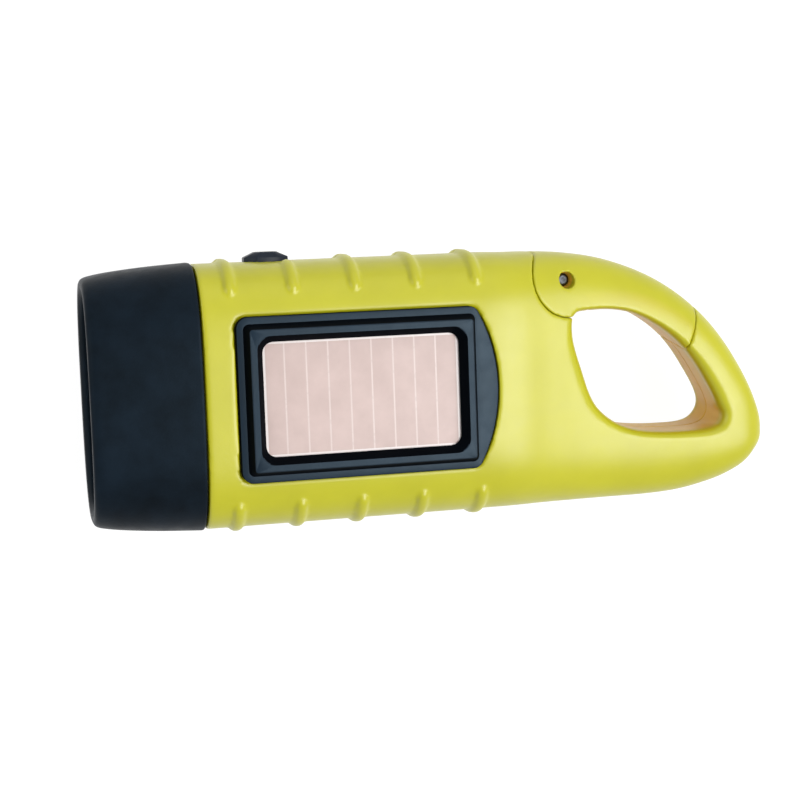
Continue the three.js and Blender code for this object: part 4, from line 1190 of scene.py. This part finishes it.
def panelSolid():
    # A thin plate, and on it nine strips a hair apart
    centre = solarFrame["ringCentre"]
    length, width, corner = panel["halfLength"], panel["halfWidth"], panel["corner"]
    top, bottom = panel["top"] - panel["plateDrop"], panel["top"] - panel["thickness"]

    def ringAt(inset, z):
        left, right = centre - length + inset, centre + length - inset
        return frameRing(left, right, width - inset, corner - inset, corner - inset, 0, z)

    places = ((0.1, bottom), (0, bottom + 0.1), (0, top - 0.1), (0.1, top))
    plate = loft([ringAt(inset, z) for inset, z in places])
    for face in plate.faces:
        face.material_index = 2
    left = centre - panel["window"]
    pitch = (2 * panel["window"] - panel["firstStrip"]) / (panel["strips"] - 1)
    half, across = panel["line"] / 2, width - panel["edge"]
    ends = [left, *[left + panel["firstStrip"] + i * pitch for i in range(panel["strips"])]]
    strips, base = [], top - panel["stripDepth"]
    for i, (low, high) in enumerate(zip(ends, ends[1:]), 1):
        strips.append(block((low + half, -across, base), (high - half, across, panel["top"])))
        if i < panel["strips"]:
            lineTop = panel["top"] - panel["lineDrop"]
            line = block((high - half, -across, base), (high + half, across, lineTop))
            for face in line.faces:
                face.material_index = 1
            strips.append(line)
    return joined([plate, *strips])


beiges = (panelBeige, panelLine, panelEdge)
addPiece("solarPanel", panelSolid(), beiges, "body", ["solar_panel"])
print("solar frame and panel made")

# Push button


def facetRing(inset, y):
    # Eight corners: a long flat front and back, slanting ends
    length, depth = button["halfLength"], button["halfDepth"]
    half = [
        (button["flat"] - inset[0] * button["flatShare"], depth - inset[1]),
        (length - 0.05 - inset[0], (depth - inset[1]) * button["sideShare"]),
    ]
    corners = [*half, *[(x, -z) for x, z in half[::-1]]]
    corners += [(-x, -z) for x, z in corners]
    rows = softCorners(corners + corners[:1], 0.25, 3)
    return [Vector((button["x"] + row.x, y, row.y)) for row in rows[:-1]]


def pushButton():
    length, depth = button["halfLength"], button["halfDepth"]
    top = body["halfWidth"] + button["proud"]
    seat, flange = button["seat"], button["flange"]
    inner = seat - button["flangeThickness"]
    rows = [(flange - 0.1, inner), (flange, inner + 0.1), (flange, seat - 0.1)]
    rows += [(flange - 0.1, seat), (0, seat), (0, seat + 0.6), (-0.8, seat + 0.6)]
    base = loft([oval(length + grow, depth + grow, y) for grow, y in rows])
    slopes = [((0, 0), seat + 0.4), *[(inset, top - drop) for inset, drop in button["slopes"]]]
    return joined([base, loft([facetRing(inset, y) for inset, y in slopes])])


cap = pushButton()
addPiece("pushButton", cap, buttonBlack, "button", ["push_button"], angle=45)
print("push button made")

# Crank

crank = {
    "hub": (71.14, 0.0),
    "tip": (34.4, 0.0),
    "hubRadius": 9.0,
    "tipRadius": 7.5,
    "low": -16.0,
    "high": -9.6,
    "round": 1.3,
    "window": (31.4, 56.74, 3.4),
    "windowCorner": 1.2,
    "capRadius": 4.0,
    "capThickness": 0.8,
    "holeGap": 0.15,
    "hexLength": 3.0,
    "hexRadius": 2.6,
    "hingePin": 0.9,
    "middle": -12.8,
}


def armRing(inset, z):
    hub, tip = crank["hub"], crank["tip"]
    lean = math.asin((crank["hubRadius"] - crank["tipRadius"]) / (hub[0] - tip[0]))
    quarter = math.pi / 2
    points = arc(*hub, crank["hubRadius"] - inset, -quarter - lean, quarter + lean, 40)
    points += arc(*tip, crank["tipRadius"] - inset, quarter + lean, 3 * quarter - lean, 40)
    return [Vector((x, y, z)) for x, y in points]


def crankArm():
    low, high, size = crank["low"], crank["high"], crank["round"]
    lower = [armRing(inset, low + deep) for inset, deep in edgeRound(size, 6)]
    upper = [armRing(inset, high - deep) for inset, deep in edgeRound(size, 6)]
    blank = loft(lower + upper[::-1])
    x0, x1, half = crank["window"]
    hx, hy = crank["hub"]
    hexStart = high - crank["hexLength"]
    corner = crank["windowCorner"]
    window = []
    for i, (x, y) in enumerate(((x0, -half), (x1, -half), (x1, half), (x0, half))):
        cx, cy = x + math.copysign(corner, x1 - x - corner), y - math.copysign(corner, y)
        window += arc(cx, cy, corner, (i - 2) * math.pi / 2, (i - 1) * math.pi / 2, 6)
    cutters = [
        prism(window, low - 2, high + 2),
        upright(crank["capRadius"] + crank["holeGap"], hx, hy, low - 2, hexStart, 64),
        upright(crank["hexRadius"] + crank["holeGap"], hx, hy, low, high + 2, 6),
    ]
    arm = bevelled(cut(blank, cutters), 0.3, 50)
    tx, z = crank["tip"][0], crank["middle"]
    across = 2 * crank["tipRadius"]
    hinge = rod(crank["hingePin"] + 0.1, (tx, -across, z), (tx, across, z), 32)
    return cut(arm, [hinge])


addPiece("crankArm", crankArm(), crankBlack, "crank", ["crank_arm"], angle=30)


def hubCap():
    radius, thick = crank["capRadius"], crank["capThickness"]
    profile = [(0, 0.12), (radius * 0.5, 0.06), (radius - 0.5, 0), (radius - 0.12, 0.08)]
    profile += [(radius, 0.3), (radius, thick), (0, thick)]
    return turned(profile, (*crank["hub"], crank["low"]), (0, 0, 1), 72)


addPiece("crankHubCap", hubCap(), crankBlack, "crank", ["crank_hub_cap"], angle=30)

knob = {
    "start": 38.0,
    "end": 56.34,
    "radius": 3.0,
    "bore": 1.4,
    "grooves": 7,
    "grooveStart": 2.6,
    "grooveDepth": 0.28,
    "grooveHalfWidth": 0.6,
    "grooveHalfBottom": 0.25,
    "recess": (2.3, 2.25, 1.3),
}


def knobSolid():
    start, radius, bore = knob["start"], knob["radius"], knob["bore"]
    length = knob["end"] - start
    rows = [(bore, 0.1), (radius - 0.7, 0.0), (radius - 0.12, 0.35), (radius, 1.0)]
    pitch = (length - 2 * knob["grooveStart"]) / (knob["grooves"] - 1)
    deep = radius - knob["grooveDepth"]
    wide, flat = knob["grooveHalfWidth"], knob["grooveHalfBottom"]
    for i in range(knob["grooves"]):
        middle = knob["grooveStart"] + i * pitch
        rows += [(radius, middle - wide), (deep, middle - flat), (deep, middle + flat)]
        rows.append((radius, middle + wide))
    outer, inner, recess = knob["recess"]
    rows += [(radius, length - 1.0), (radius - 0.12, length - 0.35), (radius - 0.7, length)]
    rows += [(outer, length), (inner, length - recess), (bore, length - recess), (bore, 0.1)]
    return turned(softCorners(rows, 0.22, 3), (start, 0, crank["middle"]), (1, 0, 0), 64)


addPiece("crankKnob", knobSolid(), crankBlack, "turning_knob", ["knob"], angle=40)

post = {
    "eye": 2.6,
    "half": 3.1,
    "radius": 1.25,
    "start": 1.2,
    "head": 2.1,
    "headLength": 1.0,
    "end": 56.19,
}


def knobPost():
    x, z = crank["tip"][0], crank["middle"]
    half, size = post["half"], post["eye"]
    rows = [(0, -half), (size, -half), (size, half), (0, half)]
    eye = turned(softCorners(rows, 0.3, 4), (x, 0, z), (0, 1, 0), 64)
    length = post["end"] - x
    neckEnd = length - post["headLength"]
    head, radius = post["head"], post["radius"]
    rows = [(0, post["start"]), (radius, post["start"]), (radius, neckEnd), (head, neckEnd)]
    rows += [(head, length), (0, length - 0.1)]
    shank = turned(softCorners(rows, 0.25, 4), (x, 0, z), (1, 0, 0), 48)
    across = 2 * crank["tipRadius"]
    hole = rod(crank["hingePin"] + crank["holeGap"], (x, -across, z), (x, across, z), 32)
    return cut(cut(eye, [shank], "UNION"), [hole])


addPiece("knobPost", knobPost(), steelBright, "folding_post", ["knob_post"], angle=30)


def hingePin():
    half, radius = crank["tipRadius"] - 0.8, crank["hingePin"]
    profile = softCorners([(0, -half), (radius, -half), (radius, half), (0, half)], 0.25, 4)
    return turned(profile, (crank["tip"][0], 0, crank["middle"]), (0, 1, 0), 32)


addPiece("knobHingePin", hingePin(), steelBright, "crank", ["knob_hinge_pin"], angle=30)


def shellScrew(x, y):
    seat = screws["seat"] - 0.15
    radius, height, shank = screws["headRadius"], screws["headHeight"], screws["shankRadius"]
    tip = screws["end"] - seat
    rows = [(0, -height), (radius - 0.35, -height), (radius, -0.7 * height), (radius, 0)]
    rows += [(shank, 0), (shank, tip - 0.6), (0.5, tip), (0, tip)]
    screw = turned(softCorners(rows, 0.25, 4), (x, y, seat), (0, 0, 1), 48)
    low = seat - height
    half, thin = screws["slotHalfLength"], screws["slotHalfWidth"]
    slots = [
        block((x - a, y - b, low - 1), (x + a, y + b, low + screws["slotDepth"]))
        for a, b in ((half, thin), (thin, half))
    ]
    return cut(screw, slots)


for i, (x, y) in enumerate(screws["places"], 1):
    screw = shellScrew(x, y)
    addPiece(f"shellScrew{i}", screw, steelBright, "body", [f"shell_screw_{i}"], angle=30)
print("crank, knob and screws made")

# Finishes of the CAD pieces

nodeFinishes = [
    (boardGreen, ("led_board", "main_board")),
    (sealRubber, ("head_seal",)),
    (foamGrey, ("panel_pad",)),
    (switchBlack, ("switch_body",)),
    (steelBright, ("gate_spring", "button_spring", "crank_screw", "crank_shaft")),
    (steelBright, ("idler_axle", "hub_axle")),
    (brassBush, ("crank_bush",)),
    (whiteNylon, ("switch_plunger", "crank_gear", "idler_gear", "speed_gear", "rotor_pinion")),
    (magnetGrey, ("rotor_magnet",)),
    (copperWound, ("stator_coil",)),
    (coreSteel, ("stator_core",)),
    (cellGreen, ("battery_cell_1", "battery_cell_2", "battery_cell_3")),
]
for finish, names in nodeFinishes:
    for name in names:
        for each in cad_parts[name].material_slots:
            each.material = finish.material
print("CAD pieces finished")

# Floor, light and camera

stage = {
    "floorSize": 6.0,
    "floorGlow": 1.16,
    "floorShare": 0.83,
    "floorGrey": 0.9,
    "floorRoughness": 0.9,
    "aimHeight": 0.016,
    "skyDiffuse": 0.2,
}


def whiteForView(nodes, plain, glow):
    # Glow for rays that show the background, plain for the rays that light the object
    path = nodes.add("ShaderNodeLightPath")
    seen = path.outputs["Is Camera Ray"]
    for name in ("Is Glossy Ray", "Is Transmission Ray"):
        larger = nodes.add("ShaderNodeMath", operation="MAXIMUM")
        nodes.put(larger.inputs[0], seen)
        nodes.put(larger.inputs[1], path.outputs[name])
        seen = larger.outputs[0]
    inputs = {"Value": seen, "To Min": plain, "To Max": glow}
    return nodes.add("ShaderNodeMapRange", inputs).outputs["Result"]


def addFloor():
    bm = bmesh.new()
    bmesh.ops.create_grid(bm, x_segments=2, y_segments=2, size=stage["floorSize"] / 2)
    floor = looseObject(bm, "floor")
    bm.free()
    finish = Finish("floor white")
    grey = stage["floorGrey"]
    finish.set(Base_Color=(grey, grey, grey, 1), Roughness=stage["floorRoughness"])
    glow = finish.add("ShaderNodeEmission", {"Strength": stage["floorGlow"]})
    share = whiteForView(finish, 0.0, stage["floorShare"])
    mix = finish.add("ShaderNodeMixShader", {"Fac": share})
    finish.put(mix.inputs[1], finish.shader.outputs["BSDF"])
    finish.put(mix.inputs[2], glow.outputs["Emission"])
    output = finish.tree.nodes["Material Output"]
    finish.put(output.inputs["Surface"], mix.outputs["Shader"])
    floor.data.materials.append(finish.material)


def addWorld():
    world = bpy.data.worlds.new("studio")
    world.use_nodes = True
    nodes = Nodes(world.node_tree)
    sky = nodes.tree.nodes["Background"]
    nodes.put(sky.inputs["Color"], (1, 1, 1, 1))
    nodes.put(sky.inputs["Strength"], whiteForView(nodes, stage["skyDiffuse"], 1.0))
    bpy.context.scene.world = world


lamps = {
    "overhead": {"place": (0.58, -0.05, 1.1), "size": (1.15, 0.72), "power": 15.6},
    "left": {"place": (-1.1, 0.25, 0.75), "size": (0.9, 0.9), "power": 3.2},
    "behind": {"place": (0.2, 1.2, 0.8), "size": (0.9, 0.9), "power": 2.0},
}


def addLamps():
    aim = Vector((0, 0, stage["aimHeight"]))
    for name, settings in lamps.items():
        data = bpy.data.lights.new(name, "AREA")
        data.shape = "RECTANGLE"
        data.size, data.size_y = settings["size"]
        data.energy = settings["power"]
        lamp = linked(name, data)
        place = Vector(settings["place"])
        lamp.location = place
        lamp.rotation_euler = (aim - place).to_track_quat("-Z", "Y").to_euler()


camera = {
    "place": (-0.08848, 0.03402, 0.3599),
    "forward": (0.23783, -0.10196, -0.96594),
    "right": (0.96952, -0.0354, 0.24244),
    "lens": 80.1,
    "shift": (-0.0175, -0.01),
}


def addCamera():
    data = bpy.data.cameras.new("camera")
    data.lens = camera["lens"]
    data.sensor_width = 36
    data.shift_x, data.shift_y = camera["shift"]
    data.clip_start = 0.01
    obj = linked("camera", data)
    back = -Vector(camera["forward"]).normalized()
    up = back.cross(Vector(camera["right"])).normalized()
    right = up.cross(back)
    turn = Matrix((right, up, back)).transposed().to_4x4()
    obj.matrix_world = Matrix.Translation(camera["place"]) @ turn
    bpy.context.scene.camera = obj


addFloor()
addWorld()
addLamps()
addCamera()
bpy.context.scene.view_settings.view_transform = "Standard"
print("floor, light and camera set")
